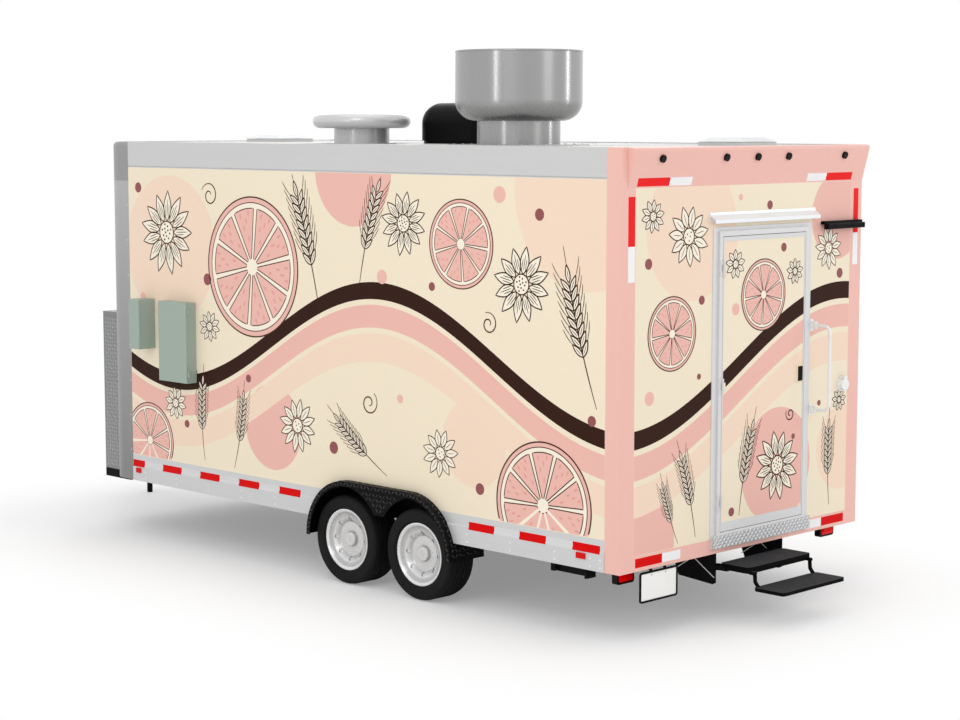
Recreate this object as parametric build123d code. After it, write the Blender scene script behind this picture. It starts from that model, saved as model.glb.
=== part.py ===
"""Tandem-axle food trailer with a rear door, a fold-out step, roof gear and a serving hatch.

Stations: X runs forward from the rear face, Y to the left from the centreline, Z up from the
ground, all in millimetres. The saved pieces are moved so that the origin is on the ground under
the middle of the whole trailer.
"""
from build123d import *
import math
import os

# Body
BODY_LENGTH = 5486
BODY_WIDTH = 2590
HALF = BODY_WIDTH / 2
SKIRT_BOTTOM = 455
SKIRT_TOP = 664
FRAME_TOP = 575
FLOOR_TOP = 605
WALL_TOP = 2957
ROOF_EDGE = 3157
ROOF_TOP = 3150
ROOF_BOTTOM = 3112
WALL = 50
INSIDE = HALF - WALL
FRONT_INSIDE = BODY_LENGTH - WALL

# Corners
CORNER_RADIUS = 215
COLUMN_START = 5150
CAP_BOTTOM = 2850
POST_SIDE = 127
POST_REAR = 132
POST_INSIDE = HALF - POST_REAR
SILL_TOP = 556
HEADER_BOTTOM = 2902
VISOR_REACH = 60
FRONT_FLAT = HALF - CORNER_RADIUS

# Frame and tongue
RAIL_INNER = 890
RAIL_OUTER = 950
RAIL_BOTTOM = 455
CROSS_BOTTOM = 495
TONGUE_BOTTOM = 385
TONGUE_TUBE = 60
TONGUE_START = (4640, 640)
COUPLER_LENGTH = 350
COUPLER_TIP = 7150
BALL_RADIUS = 29.6
SOCKET_DEPTH = 50
COUPLER_LATCH_PIVOT = (COUPLER_TIP - 222, 490)

# Stabilisers
STABILISER_PIVOT = (660, 395)
STABILISER_EARS = ((1092, 1098), (1192, 1198))
STABILISER_LENGTH = 290

# Wheels
AXLE_STATIONS = {"rear": 1840, "front": 2594}
HUB_HEIGHT = 323.75
TYRE_RADIUS = 323.75
WHEEL_MIDDLE = 1183
TYRE_WIDTH = 240
RIM_WIDTH = 220
RIM_RADIUS = 206
FLANGE_RADIUS = 222
SPINDLE_RADIUS = 20
LEAF_HALF = 330
RUNNING_GAP = 0.06

# Fenders
FENDER_REAR = 1472
FENDER_FRONT = 2962
FENDER_TOP = 762
FENDER_RADIUS = 430
FENDER_REAR_FOOT = 325
FENDER_FRONT_FOOT = 325
FENDER_OUTER = 1355
FENDER_INNER = 1020
FENDER_LIP = 38
WEB_OUTER = 1324
WEB_ARCH = 398
WEB_BOTTOM = 550
SHEET = 4

# Rear door, given as distances from the left corner
FRAME_LEFT = 910
FRAME_RIGHT = 1988
FRAME_HEAD = 2628
LEAF_LEFT = 999
LEAF_RIGHT = 1906
LEAF_BOTTOM = 600
LEAF_TOP = 2564
LEAF_GAP = 4
FRAME_PROUD = 20
THRESHOLD = ((-24, 0), (490, 580))
LEAF_THICKNESS = 45
LEAF_TRIM = 9
LEAF_RAILS = (60, 28)
HINGE_OFFSET = 28.5
HINGE_HEIGHTS = (800, 1580, 2360)
LEAF_Y = (HALF - LEAF_RIGHT, HALF - LEAF_LEFT)
LEAF_Z = (LEAF_BOTTOM, LEAF_TOP)
HINGE_AXIS = (-HINGE_OFFSET, LEAF_Y[1] + LEAF_GAP / 2)
LATCH_Y = (HALF - 1891, HALF - 1836)
LATCH_Z = (1542, 1642)
PADDLE_PIVOT = (-14, 1634)

# Grab rail and shore-power inlet beside the door
GRAB_Y = HALF - 2012
GRAB_AXIS_X = -42
GRAB_HEIGHTS = (1327, 1915)
GRAB_REACH = -160
INLET_AT = (HALF - 2383, 1469)
INLET_RADIUS = 45
INLET_FACE = -30
INLET_PIVOT = (-36, INLET_AT[1] + 52)

# Work-light bar, given as distances from the left corner
LIGHT_BAR = (2105, 2535)
LIGHT_BAR_Z = (2575, 2614)

# Step, given as distances from the left corner
STEP_LEFT = 1010
STEP_RIGHT = 1702
UPPER_TREAD_TOP = 390
LOWER_TREAD_TOP = 265
UPPER_TREAD = (-256, -14)
LOWER_TREAD = (-540, -294)
STEP_PIVOT = (130, 340)
ARM_REACH = (-180, 20)
ARM_SPACING = 90
FOLD_PIVOT = (-274, 352)
STEP_Y = (HALF - STEP_RIGHT, HALF - STEP_LEFT)
STEP_PLATE = 6
ARM_LAYERS = (10, 2)
BRACKET_LAYER = 18
ARM_PIN = 7
ARM_PIN_DEPTH = 12
FOLD_PIN = 6

# Side boxes
BREAKER_X = (4310, 4660)
BREAKER_Z = (1312, 1932)
BREAKER_DEPTH = 80
DISCONNECT_X = (4830, 4960)
DISCONNECT_Z = (1543, 1933)
DISCONNECT_DEPTH = 140
BOX_DOOR = 18
BREAKER_HINGE = BREAKER_X[0] - 8
DISCONNECT_HINGE = DISCONNECT_X[1] + 8

# Front box and jack
FRONT_BOX_FRONT = 5831
FRONT_BOX_TOP = 1760
LID_DEPTH = 34
LID_PIVOT = (BODY_LENGTH + 12, FRONT_BOX_TOP - 14)
LID_HINGES = (-700, 700)
JACK_STATION = 6695
CRANK_HEIGHT = 1042

# Roof gear
FAN_AT = (1727, 413)
FAN_RADIUS = 450
NECK_RADIUS = 295
BOWL_BOTTOM = 3321
BOWL_TOP = 3812
CAP_AT = (3370, 415)
CAP_RADIUS = 371
CAP_BORE = 205
CAP_LOW = ROOF_TOP + 116
CAP_HIGH = ROOF_TOP + 222
AC_X = (2310, 3080)
AC_Y = (-530, 150)
AC_TOP = 3455
AC_ROUND = 155
DUCT_HALF = 240
VENT_SIZE = 356
VENT_CURB = ROOF_TOP + 26
VENT_PIVOT = (VENT_SIZE / 2 + 30, VENT_CURB + 2)
FRONT_VENT = (4830, 0)
REAR_VENT = (480, -480)

# Serving side
HATCH_X = (1700, 4300)
HATCH_Z = (1500, 2450)
HATCH_LAP = 35
HATCH_THICKNESS = 40
HATCH_PIVOT = (-HALF - 22, HATCH_Z[1] + 56)
HATCH_HINGES = (HATCH_X[0] + 120, (HATCH_X[0] + HATCH_X[1]) / 2, HATCH_X[1] - 120)
SHELF_Z = (1040, 1432)
SHELF_THICKNESS = 26
SHELF_PIVOT = (-HALF - 18, SHELF_Z[1] + 14)

# Whole trailer, for the origin
REAR_REACH = LOWER_TREAD[0]
LEFT_REACH = HALF + DISCONNECT_DEPTH + BOX_DOOR
RIGHT_REACH = FENDER_OUTER
ORIGIN = Vector((COUPLER_TIP + REAR_REACH) / 2, (LEFT_REACH - RIGHT_REACH) / 2, 0)


def block(x, y, z):
    """Box between (low, high) pairs along X, Y and Z."""
    pairs = (x, y, z)
    size = [high - low for low, high in pairs]
    middle = [(low + high) / 2 for low, high in pairs]
    return Pos(*middle) * Box(*size)


def across(points, y):
    """Outline in X and Z, extruded between two Y values."""
    face = make_face(Plane.XZ * Polyline(*points, close=True))
    return Pos(0, y[0], 0) * extrude(face, amount=y[1] - y[0], dir=(0, 1, 0))


def along(points, x):
    """Outline in Y and Z, extruded between two X values."""
    face = make_face(Plane.YZ * Polyline(*points, close=True))
    return Pos(x[0], 0, 0) * extrude(face, amount=x[1] - x[0], dir=(1, 0, 0))


def upright(points, z):
    """Outline in X and Y, extruded between two Z values."""
    face = make_face(Plane.XY * Polyline(*points, close=True))
    return Pos(0, 0, z[0]) * extrude(face, amount=z[1] - z[0], dir=(0, 0, 1))


def rod(start, end, radius):
    """Round bar between two points."""
    axis = Vector(*end) - Vector(*start)
    return Solid.make_cylinder(radius, axis.length, Plane(origin=start, z_dir=axis))


def turned(points):
    """Outline in radius and Z, turned about Z."""
    return revolve(make_face(Plane.XZ * Polyline(*points, close=True)), Axis.Z)


def rounded_block(x, y, z, radius):
    """Box with its upright edges rounded."""
    solid = block(x, y, z)
    return fillet(solid.edges().filter_by(Axis.Z), radius)


def to_right(solid):
    """Mirror image on the right-hand side."""
    return mirror(solid, about=Plane.XZ)


def both(solid):
    """A left-hand piece with its right-hand twin."""
    return [solid, to_right(solid)]


def from_left(distance):
    """Y of a point given by its distance from the left corner."""
    return HALF - distance


def span_from_left(left, right):
    """Pair of Y values for a span given from the left corner."""
    return (from_left(right), from_left(left))


def save(name, *pieces):
    """Write one node, moved to the trailer's origin."""
    solids = [solid for piece in pieces for solid in piece.solids()]
    export_step(Compound(children=solids).moved(Location(-ORIGIN)), f"parts/{name}.step")


def chassis_frame():
    """Welded tubes: rails, cross members with outriggers, tongue, hangers and stabiliser ears."""
    members = both(block((WALL, 5440), (RAIL_INNER, RAIL_OUTER), (RAIL_BOTTOM, FRAME_TOP)))
    members += cross_member((60, 160), INSIDE - 5, RAIL_BOTTOM)
    width = 40
    first, last, count = 640, 5400, 9
    for index in range(count):
        x = first + (last - first) * index / (count - 1)
        beside_wheels = FENDER_REAR - width < x < FENDER_FRONT
        reach = RAIL_INNER if beside_wheels else INSIDE + WALL / 2
        if index == count - 1:
            reach = FRONT_FLAT
        bottom = RAIL_BOTTOM if x > TONGUE_START[0] else CROSS_BOTTOM
        members += cross_member((x, x + width), reach, bottom)
    members += tongue()
    for piece in spring_hangers() + stabiliser_ears():
        members += both(piece)
    return members


def cross_member(x, reach, bottom):
    """Tube between the rails, with an outrigger on each side if it reaches past them."""
    tubes = [block(x, (-RAIL_INNER, RAIL_INNER), (bottom, FRAME_TOP))]
    if reach > RAIL_OUTER:
        tubes += both(block(x, (RAIL_OUTER, reach), (bottom, FRAME_TOP)))
    return tubes


def tongue():
    """Two converging tubes under the frame, the front box's bearers and the jack plate."""
    start, apex_half = TONGUE_START, 34
    apex_x = COUPLER_TIP - COUPLER_LENGTH
    level = (TONGUE_BOTTOM, RAIL_BOTTOM)
    run = math.hypot(apex_x - start[0], start[1] - apex_half)
    slant = math.degrees(math.atan2(apex_half - start[1], apex_x - start[0]))
    tube = Pos(run / 2, 0, 0) * Box(run, TONGUE_TUBE, RAIL_BOTTOM - TONGUE_BOTTOM)
    tube = Pos(*start, sum(level) / 2) * Rot(0, 0, slant) * tube
    tube -= block((apex_x, COUPLER_TIP), (-HALF, HALF), (0, FRAME_TOP))
    tubes = both(tube)
    bearer_x = (FRONT_BOX_FRONT - TONGUE_TUBE, FRONT_BOX_FRONT)
    bearer = block(bearer_x, (-FRONT_FLAT, FRONT_FLAT), level) - tubes[0] - tubes[1]
    runner = block((BODY_LENGTH, bearer_x[0]), (FRONT_FLAT - TONGUE_TUBE, FRONT_FLAT), level)
    outline = [(JACK_STATION - 150, -115), (apex_x, -66), (apex_x, 66), (JACK_STATION - 150, 115)]
    plate = upright(outline, (RAIL_BOTTOM, RAIL_BOTTOM + 10))
    plate -= Pos(JACK_STATION, 0, RAIL_BOTTOM) * Cylinder(31, 400)
    return [*tubes, bearer, *both(runner), plate]


def spring_hangers():
    """Left-hand hanger plates under the rail: two single ones and the rocker in the middle."""
    low, half = 396, 25
    rear_end, front_end = AXLE_STATIONS["rear"] - LEAF_HALF, AXLE_STATIONS["front"] + LEAF_HALF
    middle = (AXLE_STATIONS["rear"] + LEAF_HALF, AXLE_STATIONS["front"] - LEAF_HALF)
    plates = []
    for x in ((rear_end - 2 * half, rear_end), middle, (front_end, front_end + 2 * half)):
        plates.append(block(x, (RAIL_INNER + 5, RAIL_OUTER - 5), (low, RAIL_BOTTOM)))
    return plates


def stabiliser_ears():
    """Left-hand pair of hinge ears for the fold-down stabiliser and the pin between them."""
    ears = [block((640, 680), y, (375, CROSS_BOTTOM)) for y in STABILISER_EARS]
    x, z = STABILISER_PIVOT
    return [*ears, rod((x, STABILISER_EARS[0][1], z), (x, STABILISER_EARS[1][0], z), 8)]


def stabiliser():
    """Left-hand folded stabiliser leg with its foot."""
    x, z = STABILISER_PIVOT
    low, high = STABILISER_EARS[0][1] + 2, STABILISER_EARS[1][0] - 2
    leg = block((x - STABILISER_LENGTH + 20, x + 18), (low + 20, high - 20), (z - 22, z + 22))
    sleeve = rod((x, low, z), (x, high, z), 20)
    foot = block((x - STABILISER_LENGTH, x - STABILISER_LENGTH + 20), (low, high), (z - 34, z + 44))
    return leg + sleeve + foot - rod((x, low - 5, z), (x, high + 5, z), 8 + RUNNING_GAP)


def coupler():
    """Ball coupler: channel over the tongue's apex, rounded nose and ball socket."""
    back, nose = COUPLER_TIP - COUPLER_LENGTH, COUPLER_TIP - 62
    body = [(back, -66), (nose - 60, -62), (nose, -62), (nose, 62), (nose - 60, 62), (back, 66)]
    top = RAIL_BOTTOM + 6
    shell = upright(body, (TONGUE_BOTTOM, top)) + rod((nose, 0, TONGUE_BOTTOM), (nose, 0, top), 62)
    shell = fillet(shell.edges().group_by(Axis.Z)[-1], 14)
    shell -= block((back - 1, nose - 75), (-48, 48), (TONGUE_BOTTOM - 1, RAIL_BOTTOM - 6))
    socket = rod((nose, 0, TONGUE_BOTTOM), (nose, 0, TONGUE_BOTTOM + SOCKET_DEPTH), BALL_RADIUS)
    clamp_ears = Part()
    for y in ((-24, -16), (16, 24)):
        sides = [(nose - 190, 460), (nose - 130, 460), (nose - 140, 505), (nose - 180, 505)]
        clamp_ears += across(sides, y)
    x, z = COUPLER_LATCH_PIVOT
    return shell - socket + clamp_ears + rod((x, -24, z), (x, 24, z), 6)


def coupler_latch():
    """Over-centre lever on the coupler."""
    x, z = COUPLER_LATCH_PIVOT
    side = [(x - 16, z - 14), (x + 16, z - 14), (x + 120, z + 2), (x + 130, z + 14), (x - 10, z + 16)]
    lever = across(side, (-14, 14))
    grip = rod((x + 118, -34, z + 9), (x + 118, 34, z + 9), 9)
    return lever + grip - rod((x, -20, z), (x, 20, z), 6 + RUNNING_GAP)


def jack_tube():
    """Outer tube, mounting flange and crank housing of the tongue jack."""
    low, high, radius = 300, 1010, 30
    tube = rod((JACK_STATION, 0, low), (JACK_STATION, 0, high), radius)
    flange = Pos(JACK_STATION, 0, RAIL_BOTTOM + 15) * Cylinder(56, 10)
    head = rounded_block((JACK_STATION - 36, JACK_STATION + 36), (-36, 36), (high, high + 60), 10)
    bore = rod((JACK_STATION, 0, low - 1), (JACK_STATION, 0, high - 20), 25)
    crank_bore = rod((JACK_STATION, 20, CRANK_HEIGHT), (JACK_STATION, 40, CRANK_HEIGHT), 9 + RUNNING_GAP)
    return tube + flange + head - bore - crank_bore


def jack_leg():
    """Inner leg of the tongue jack, standing on the ground."""
    leg = rod((JACK_STATION, 0, 0), (JACK_STATION, 0, 640), 24.5)
    return chamfer(leg.edges().group_by(Axis.Z)[0], 4)


def jack_crank():
    """Side-wind crank handle."""
    x, z = JACK_STATION, CRANK_HEIGHT
    shaft = rod((x, 21, z), (x, 62, z), 9)
    arm = across([(x - 14, z - 14), (x + 14, z - 14), (x + 11, z + 190), (x - 11, z + 190)], (62, 70))
    grip = rod((x, 70, z + 174), (x, 180, z + 174), 13)
    return shaft + arm + grip


def leaf_strip(x, half_span, z_end, z_middle, thickness, y):
    """One curved leaf: a strip between two arcs, lowest in the middle."""
    top = ThreePointArc((x - half_span, z_end), (x, z_middle), (x + half_span, z_end))
    low = thickness
    bottom = ThreePointArc((x - half_span, z_end - low), (x, z_middle - low), (x + half_span, z_end - low))
    ends = [Line(top @ 0, bottom @ 0), Line(top @ 1, bottom @ 1)]
    face = make_face([Plane.XZ * edge for edge in (top, bottom, *ends)])
    return Pos(0, y[0], 0) * extrude(face, amount=y[1] - y[0], dir=(0, 1, 0))


def axles():
    """Two straight beams with spindles, spring seats and leaf packs."""
    pieces = []
    width = (RAIL_INNER + 7, RAIL_OUTER - 7)
    for x in AXLE_STATIONS.values():
        beam = rod((x, -1085, HUB_HEIGHT), (x, 1085, HUB_HEIGHT), 32)
        for end in both(rod((x, 1085, HUB_HEIGHT), (x, 1205, HUB_HEIGHT), SPINDLE_RADIUS)):
            beam += end
        for seat in both(block((x - 40, x + 40), width, (HUB_HEIGHT + 20, HUB_HEIGHT + 38))):
            beam += seat
        pieces.append(beam)
        pack_bottom = HUB_HEIGHT + 38
        for left in both(leaf_pack(x, pack_bottom, width)):
            pieces.append(left)
    return pieces


def leaf_pack(x, bottom, y):
    """Left-hand pack of three leaves, the longest on top, with rolled eyes."""
    leaf, camber = 9, 30
    pack = Part()
    for index, half_span in enumerate((LEAF_HALF - 180, LEAF_HALF - 90, LEAF_HALF)):
        middle = bottom + leaf * (index + 1)
        rise = camber * (half_span / LEAF_HALF) ** 2
        pack += leaf_strip(x, half_span, middle + rise, middle, leaf, y)
    seat = block((x - 40, x + 40), y, (bottom, bottom + leaf))
    return pack + seat


def tyre():
    """Left-hand tyre about Z, outer side up: square shoulders, bulged walls and tread grooves."""
    half, bead = TYRE_WIDTH / 2, RIM_WIDTH / 2
    side = [
        (RIM_RADIUS, bead - 15),
        (FLANGE_RADIUS + 2, bead - 8.6),
        (FLANGE_RADIUS + 18, half),
        (TYRE_RADIUS - 20, half),
        (TYRE_RADIUS - 5, half - 12),
        (TYRE_RADIUS, half - 34),
    ]
    far_side = [(radius, -z) for radius, z in reversed(side)]
    face = make_face(Plane.XZ * Polyline(*side, *far_side, close=True))
    corners = [vertex for vertex in face.vertices() if vertex.X > FLANGE_RADIUS + 20]
    ring = revolve(fillet(corners, 9), Axis.Z)
    for groove in (-48, -16, 16, 48):
        cutter = Cylinder(TYRE_RADIUS + 5, 6) - Cylinder(TYRE_RADIUS - 7, 6)
        ring -= Pos(0, 0, groove) * cutter
    return ring


def steel_wheel():
    """Left-hand wheel about Z, outer side up: barrel, deep dish with round holes, hub and cap."""
    half = RIM_WIDTH / 2
    barrel_inner = RIM_RADIUS - 6
    outline = [
        (SPINDLE_RADIUS + RUNNING_GAP, -94),
        (62, -94),
        (62, -20),
        (112, -20),
        (112, 36),
        (132, 44),
        (154, 62),
        (172, 72),
        (barrel_inner, 78),
        (barrel_inner, -half + 16),
        (barrel_inner + 16, -half + 2),
        (FLANGE_RADIUS, -half + 2),
        (FLANGE_RADIUS, -half + 8),
        (RIM_RADIUS - 0.3, -half + 14),
        (RIM_RADIUS - 0.3, half - 14),
        (FLANGE_RADIUS, half - 8),
        (FLANGE_RADIUS, half - 2),
        (FLANGE_RADIUS - 7, half - 1),
        (barrel_inner + 4, half - 8),
        (188, half - 19),
        (170, half - 25),
        (162, half - 30),
        (130, 59),
        (122, 54),
        (54, 54),
        (51, 72),
        (46, 76),
        (0, 76),
        (0, 26),
        (SPINDLE_RADIUS + RUNNING_GAP, 26),
    ]
    wheel = turned(outline)
    for spot in PolarLocations(146, 8):
        wheel -= spot * Pos(0, 0, 65) * Cylinder(16, 70)
    return wheel


def place_wheel(solid, x):
    """Left-hand wheel piece turned onto its axle."""
    return Pos(x, WHEEL_MIDDLE, HUB_HEIGHT) * Rot(-90, 0, 0) * solid


def fender_face(margin):
    """Side outline of the tandem fender, drawn in by a margin, as a face in X and Z."""
    low, high = FENDER_REAR + margin, FENDER_FRONT - margin
    top = FENDER_TOP - margin
    points = [(low, FENDER_REAR_FOOT), (low, top), (high, top), (high, FENDER_FRONT_FOOT)]
    face = make_face(Plane.XZ * Polyline(*points, close=True))
    crown = [vertex for vertex in face.vertices() if vertex.Z > FENDER_RADIUS]
    return fillet(crown, FENDER_RADIUS - margin)


def fender_solid(margin, y):
    """Block of the fender's side outline between two Y values."""
    return Pos(0, y[0], 0) * extrude(fender_face(margin), amount=y[1] - y[0], dir=(0, 1, 0))


def fender():
    """Left-hand fender: arched sheet, outer lip, inner closing plate and the web between wheels."""
    width = (FENDER_INNER, FENDER_OUTER)
    inside = (FENDER_INNER - 1, FENDER_OUTER + 1)
    sheet = fender_solid(0, width) - fender_solid(SHEET, inside)
    sheet -= block((FENDER_REAR + SHEET, FENDER_FRONT - SHEET), inside, (200, FENDER_REAR_FOOT + 1))
    lip = fender_solid(SHEET, (FENDER_OUTER - SHEET, FENDER_OUTER)) - fender_solid(FENDER_LIP, inside)
    between = (FENDER_REAR + FENDER_LIP, FENDER_FRONT - FENDER_LIP)
    lip -= block(between, inside, (200, FENDER_REAR_FOOT + 1))
    closing = fender_solid(SHEET, (FENDER_INNER, FENDER_INNER + SHEET))
    closing -= block((0, BODY_LENGTH), inside, (0, FRAME_TOP))
    web_y = (WEB_OUTER - SHEET, WEB_OUTER)
    web = fender_solid(SHEET, web_y) - block((0, BODY_LENGTH), inside, (0, WEB_BOTTOM))
    for x in AXLE_STATIONS.values():
        web -= rod((x, inside[0], HUB_HEIGHT), (x, inside[1], HUB_HEIGHT), WEB_ARCH)
    return sheet + lip + closing + web


def front_plan(margin):
    """Plan of the body drawn in by a margin, as a face: round front corners outside, flat ones inside."""
    low, high = margin, BODY_LENGTH - margin
    half = HALF - margin
    face = make_face(Polyline((low, -half), (high, -half), (high, half), (low, half), close=True))
    front = [vertex for vertex in face.vertices() if vertex.X > BODY_LENGTH / 2]
    if margin:
        return chamfer(front, CORNER_RADIUS - margin)
    return fillet(front, CORNER_RADIUS)


def body_plate(margin, z, x_low):
    """Level plate that fits the body's plan, from a station forward."""
    plate = Pos(0, 0, z[0]) * extrude(front_plan(margin), amount=z[1] - z[0], dir=(0, 0, 1))
    return plate - block((-1, x_low), (-HALF, HALF), (z[0] - 1, z[1] + 1))


def floor_deck():
    """Floor between the walls, notched for the wheel wells."""
    deck = body_plate(WALL, (FRAME_TOP, FLOOR_TOP), WALL)
    notch = block((FENDER_REAR, FENDER_FRONT), (FENDER_INNER, HALF), (FRAME_TOP - 1, FLOOR_TOP + 1))
    for side in both(notch):
        deck -= side
    return deck


def side_wall():
    """Left-hand wall panel, rebated behind the skirt and cut for the wheel arch."""
    wall = block((POST_SIDE, COLUMN_START), (INSIDE, HALF), (FRAME_TOP, WALL_TOP))
    rebate = block((POST_SIDE - 1, COLUMN_START + 1), (HALF - 6.5, HALF + 1), (FRAME_TOP - 1, SKIRT_TOP))
    return wall - rebate - fender_solid(-0.5, (INSIDE - 1, HALF + 1))


def right_wall():
    """Right-hand wall with the serving opening."""
    opening = block(HATCH_X, (-HALF - 1, -INSIDE + 1), HATCH_Z)
    return to_right(side_wall()) - opening


def skirt():
    """Left-hand folded aluminium skirt with a crease and a bottom return."""
    step, fold = 5, 582
    outline = [
        (HALF - 6, SKIRT_TOP),
        (HALF, SKIRT_TOP),
        (HALF, fold + 8),
        (HALF + step, fold),
        (HALF + step, SKIRT_BOTTOM),
        (HALF - 25, SKIRT_BOTTOM),
        (HALF - 25, SKIRT_BOTTOM + step),
        (HALF + step - 6, SKIRT_BOTTOM + step),
        (HALF + step - 6, fold),
        (HALF - 6, fold + 8),
    ]
    rail = along(outline, (POST_SIDE, COLUMN_START))
    return rail - fender_solid(-0.5, (HALF - 60, HALF + 60))


def body_corner(z):
    """Left-hand slice of the body's shell round the front corner."""
    height = z[1] - z[0]
    ring = extrude(front_plan(0), amount=height, dir=(0, 0, 1))
    ring -= Pos(0, 0, -1) * extrude(front_plan(WALL), amount=height + 2, dir=(0, 0, 1))
    keep = block((COLUMN_START, BODY_LENGTH + 1), (FRONT_FLAT, HALF + 1), (-2, height + 2))
    return Pos(0, 0, z[0]) * (ring & keep)


def corner_post():
    """Left-hand front post: a flat leg beside the wall, and the corner extrusion, flat inside."""
    post = body_corner((SKIRT_BOTTOM, CAP_BOTTOM))
    height = (SKIRT_BOTTOM - 1, CAP_BOTTOM + 1)
    bend = BODY_LENGTH - CORNER_RADIUS
    stretches = ((COLUMN_START, bend), (bend, BODY_LENGTH + 1))
    return [post & block(stretch, (0, HALF + 1), height) for stretch in stretches]


def corner_cap():
    """Left-hand cast cap on the front corner, rounded over at the top."""
    cap = body_corner((CAP_BOTTOM, ROOF_EDGE))
    top = cap.edges().group_by(Axis.Z)[-1]
    outer = [edge for edge in top if edge.length > CORNER_RADIUS]
    return fillet(max(outer, key=lambda edge: edge.length), 36)


def side_rail():
    """Left-hand top rail with a drip groove."""
    rail = block((POST_SIDE, COLUMN_START), (INSIDE, HALF), (WALL_TOP, ROOF_EDGE))
    groove = (WALL_TOP + 6, WALL_TOP + 12)
    return rail - block((POST_SIDE - 1, COLUMN_START + 1), (HALF - 5, HALF + 1), groove)


def top_rails():
    """Side rails and the front rail between the corner caps."""
    front = block((FRONT_INSIDE, BODY_LENGTH), (-FRONT_FLAT, FRONT_FLAT), (WALL_TOP, ROOF_EDGE))
    return [*both(side_rail()), front]


def visor():
    """Leaning header over the rear wall, stopping short of the left corner."""
    lip = 24
    outline = [
        (WALL, HEADER_BOTTOM),
        (0, HEADER_BOTTOM),
        (-VISOR_REACH, ROOF_EDGE - lip),
        (-VISOR_REACH, ROOF_EDGE - 6),
        (0, ROOF_EDGE),
        (WALL, ROOF_EDGE),
    ]
    head = across(outline, (-HALF, HALF))
    tip = -VISOR_REACH - 1
    left_end = [(tip, HALF - 62), (0, HALF - 54), (0, HALF + 1), (tip, HALF + 1)]
    return head - upright(left_end, (HEADER_BOTTOM - 1, ROOF_EDGE + 1))


def rear_frame():
    """Welded rear frame: two angle posts, the sill and the leaning header."""
    frame = visor()
    frame += block((0, WALL), (-POST_INSIDE, POST_INSIDE), (SKIRT_BOTTOM, SILL_TOP))
    post = block((0, POST_SIDE), (POST_INSIDE, HALF), (SKIRT_BOTTOM, ROOF_EDGE))
    post -= block((WALL, POST_SIDE + 1), (POST_INSIDE - 1, INSIDE), (SKIRT_BOTTOM - 1, ROOF_EDGE + 1))
    for side in both(post):
        frame += side
    return frame


def rear_wall():
    """Rear panel round the door frame."""
    wall = block((0, WALL), (-POST_INSIDE, POST_INSIDE), (SILL_TOP, HEADER_BOTTOM))
    gap = block((-1, WALL + 1), span_from_left(FRAME_LEFT, FRAME_RIGHT), (SILL_TOP - 1, FRAME_HEAD))
    return wall - gap


def ring(outer_y, outer_z, inner_y, inner_z, x):
    """Rectangular ring facing the rear."""
    return block(x, outer_y, outer_z) - block((x[0] - 1, x[1] + 1), inner_y, inner_z)


def grown(pair, amount):
    """A (low, high) pair made larger at both ends."""
    return (pair[0] - amount, pair[1] + amount)


def door_frame():
    """Door frame with an outer flange, a raised rim, a stop lip, a tread plate and hinge halves."""
    outer_y = span_from_left(FRAME_LEFT, FRAME_RIGHT)
    outer_z = (SILL_TOP, FRAME_HEAD)
    clear_y, clear_z = grown(LEAF_Y, LEAF_GAP), grown(LEAF_Z, LEAF_GAP)
    frame = ring(outer_y, outer_z, clear_y, clear_z, (-6, WALL))
    frame += ring(grown(clear_y, 34), grown(clear_z, 34), clear_y, clear_z, (-FRAME_PROUD, -6))
    lip = LEAF_THICKNESS - FRAME_PROUD + 3
    frame += ring(clear_y, clear_z, grown(LEAF_Y, -12), grown(LEAF_Z, -12), (lip, WALL))
    frame += block(THRESHOLD[0], span_from_left(FRAME_LEFT + 10, FRAME_RIGHT + 12), THRESHOLD[1])
    for z in HINGE_HEIGHTS:
        frame += hinge_half(z, 1, (-50, -21))
        frame += hinge_half(z, 1, (21, 50))
        frame += rod((*HINGE_AXIS, z - 50), (*HINGE_AXIS, z + 50), 4)
    return frame


def hinge_half(z, side, span):
    """Knuckle and strap of one hinge leaf; side is 1 on the frame and -1 on the door."""
    x, y = HINGE_AXIS
    knuckle = rod((x, y, z + span[0]), (x, y, z + span[1]), 8)
    near, far = y + side * 2.5, y + side * 34
    strap = block((x + 4.5, -FRAME_PROUD), (min(near, far), max(near, far)), (z + span[0], z + span[1]))
    return knuckle + strap


def rear_door():
    """Door leaf with a raised edge trim, a latch pocket and its hinge knuckles."""
    leaf = block((-FRAME_PROUD + 3, LEAF_THICKNESS - FRAME_PROUD), LEAF_Y, LEAF_Z)
    panel_z = (LEAF_BOTTOM + LEAF_RAILS[0], LEAF_TOP - LEAF_RAILS[1])
    trim = ring(LEAF_Y, LEAF_Z, grown(LEAF_Y, -LEAF_TRIM), panel_z, (-FRAME_PROUD, -FRAME_PROUD + 3))
    pocket = block((-FRAME_PROUD - 1, 4), grown(LATCH_Y, 3), grown(LATCH_Z, 3))
    door = leaf + trim
    for z in HINGE_HEIGHTS:
        door += hinge_half(z, -1, (-20, 20))
        door -= rod((*HINGE_AXIS, z - 21), (*HINGE_AXIS, z + 21), 4 + RUNNING_GAP)
    case = ring(grown(LATCH_Y, 9), grown(LATCH_Z, 9), grown(LATCH_Y, 3), grown(LATCH_Z, 3), (-25, -17))
    door = door - pocket + case
    x, z = PADDLE_PIVOT
    return door + rod((x, LATCH_Y[0] - 3, z), (x, LATCH_Y[1] + 3, z), 3)


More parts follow.
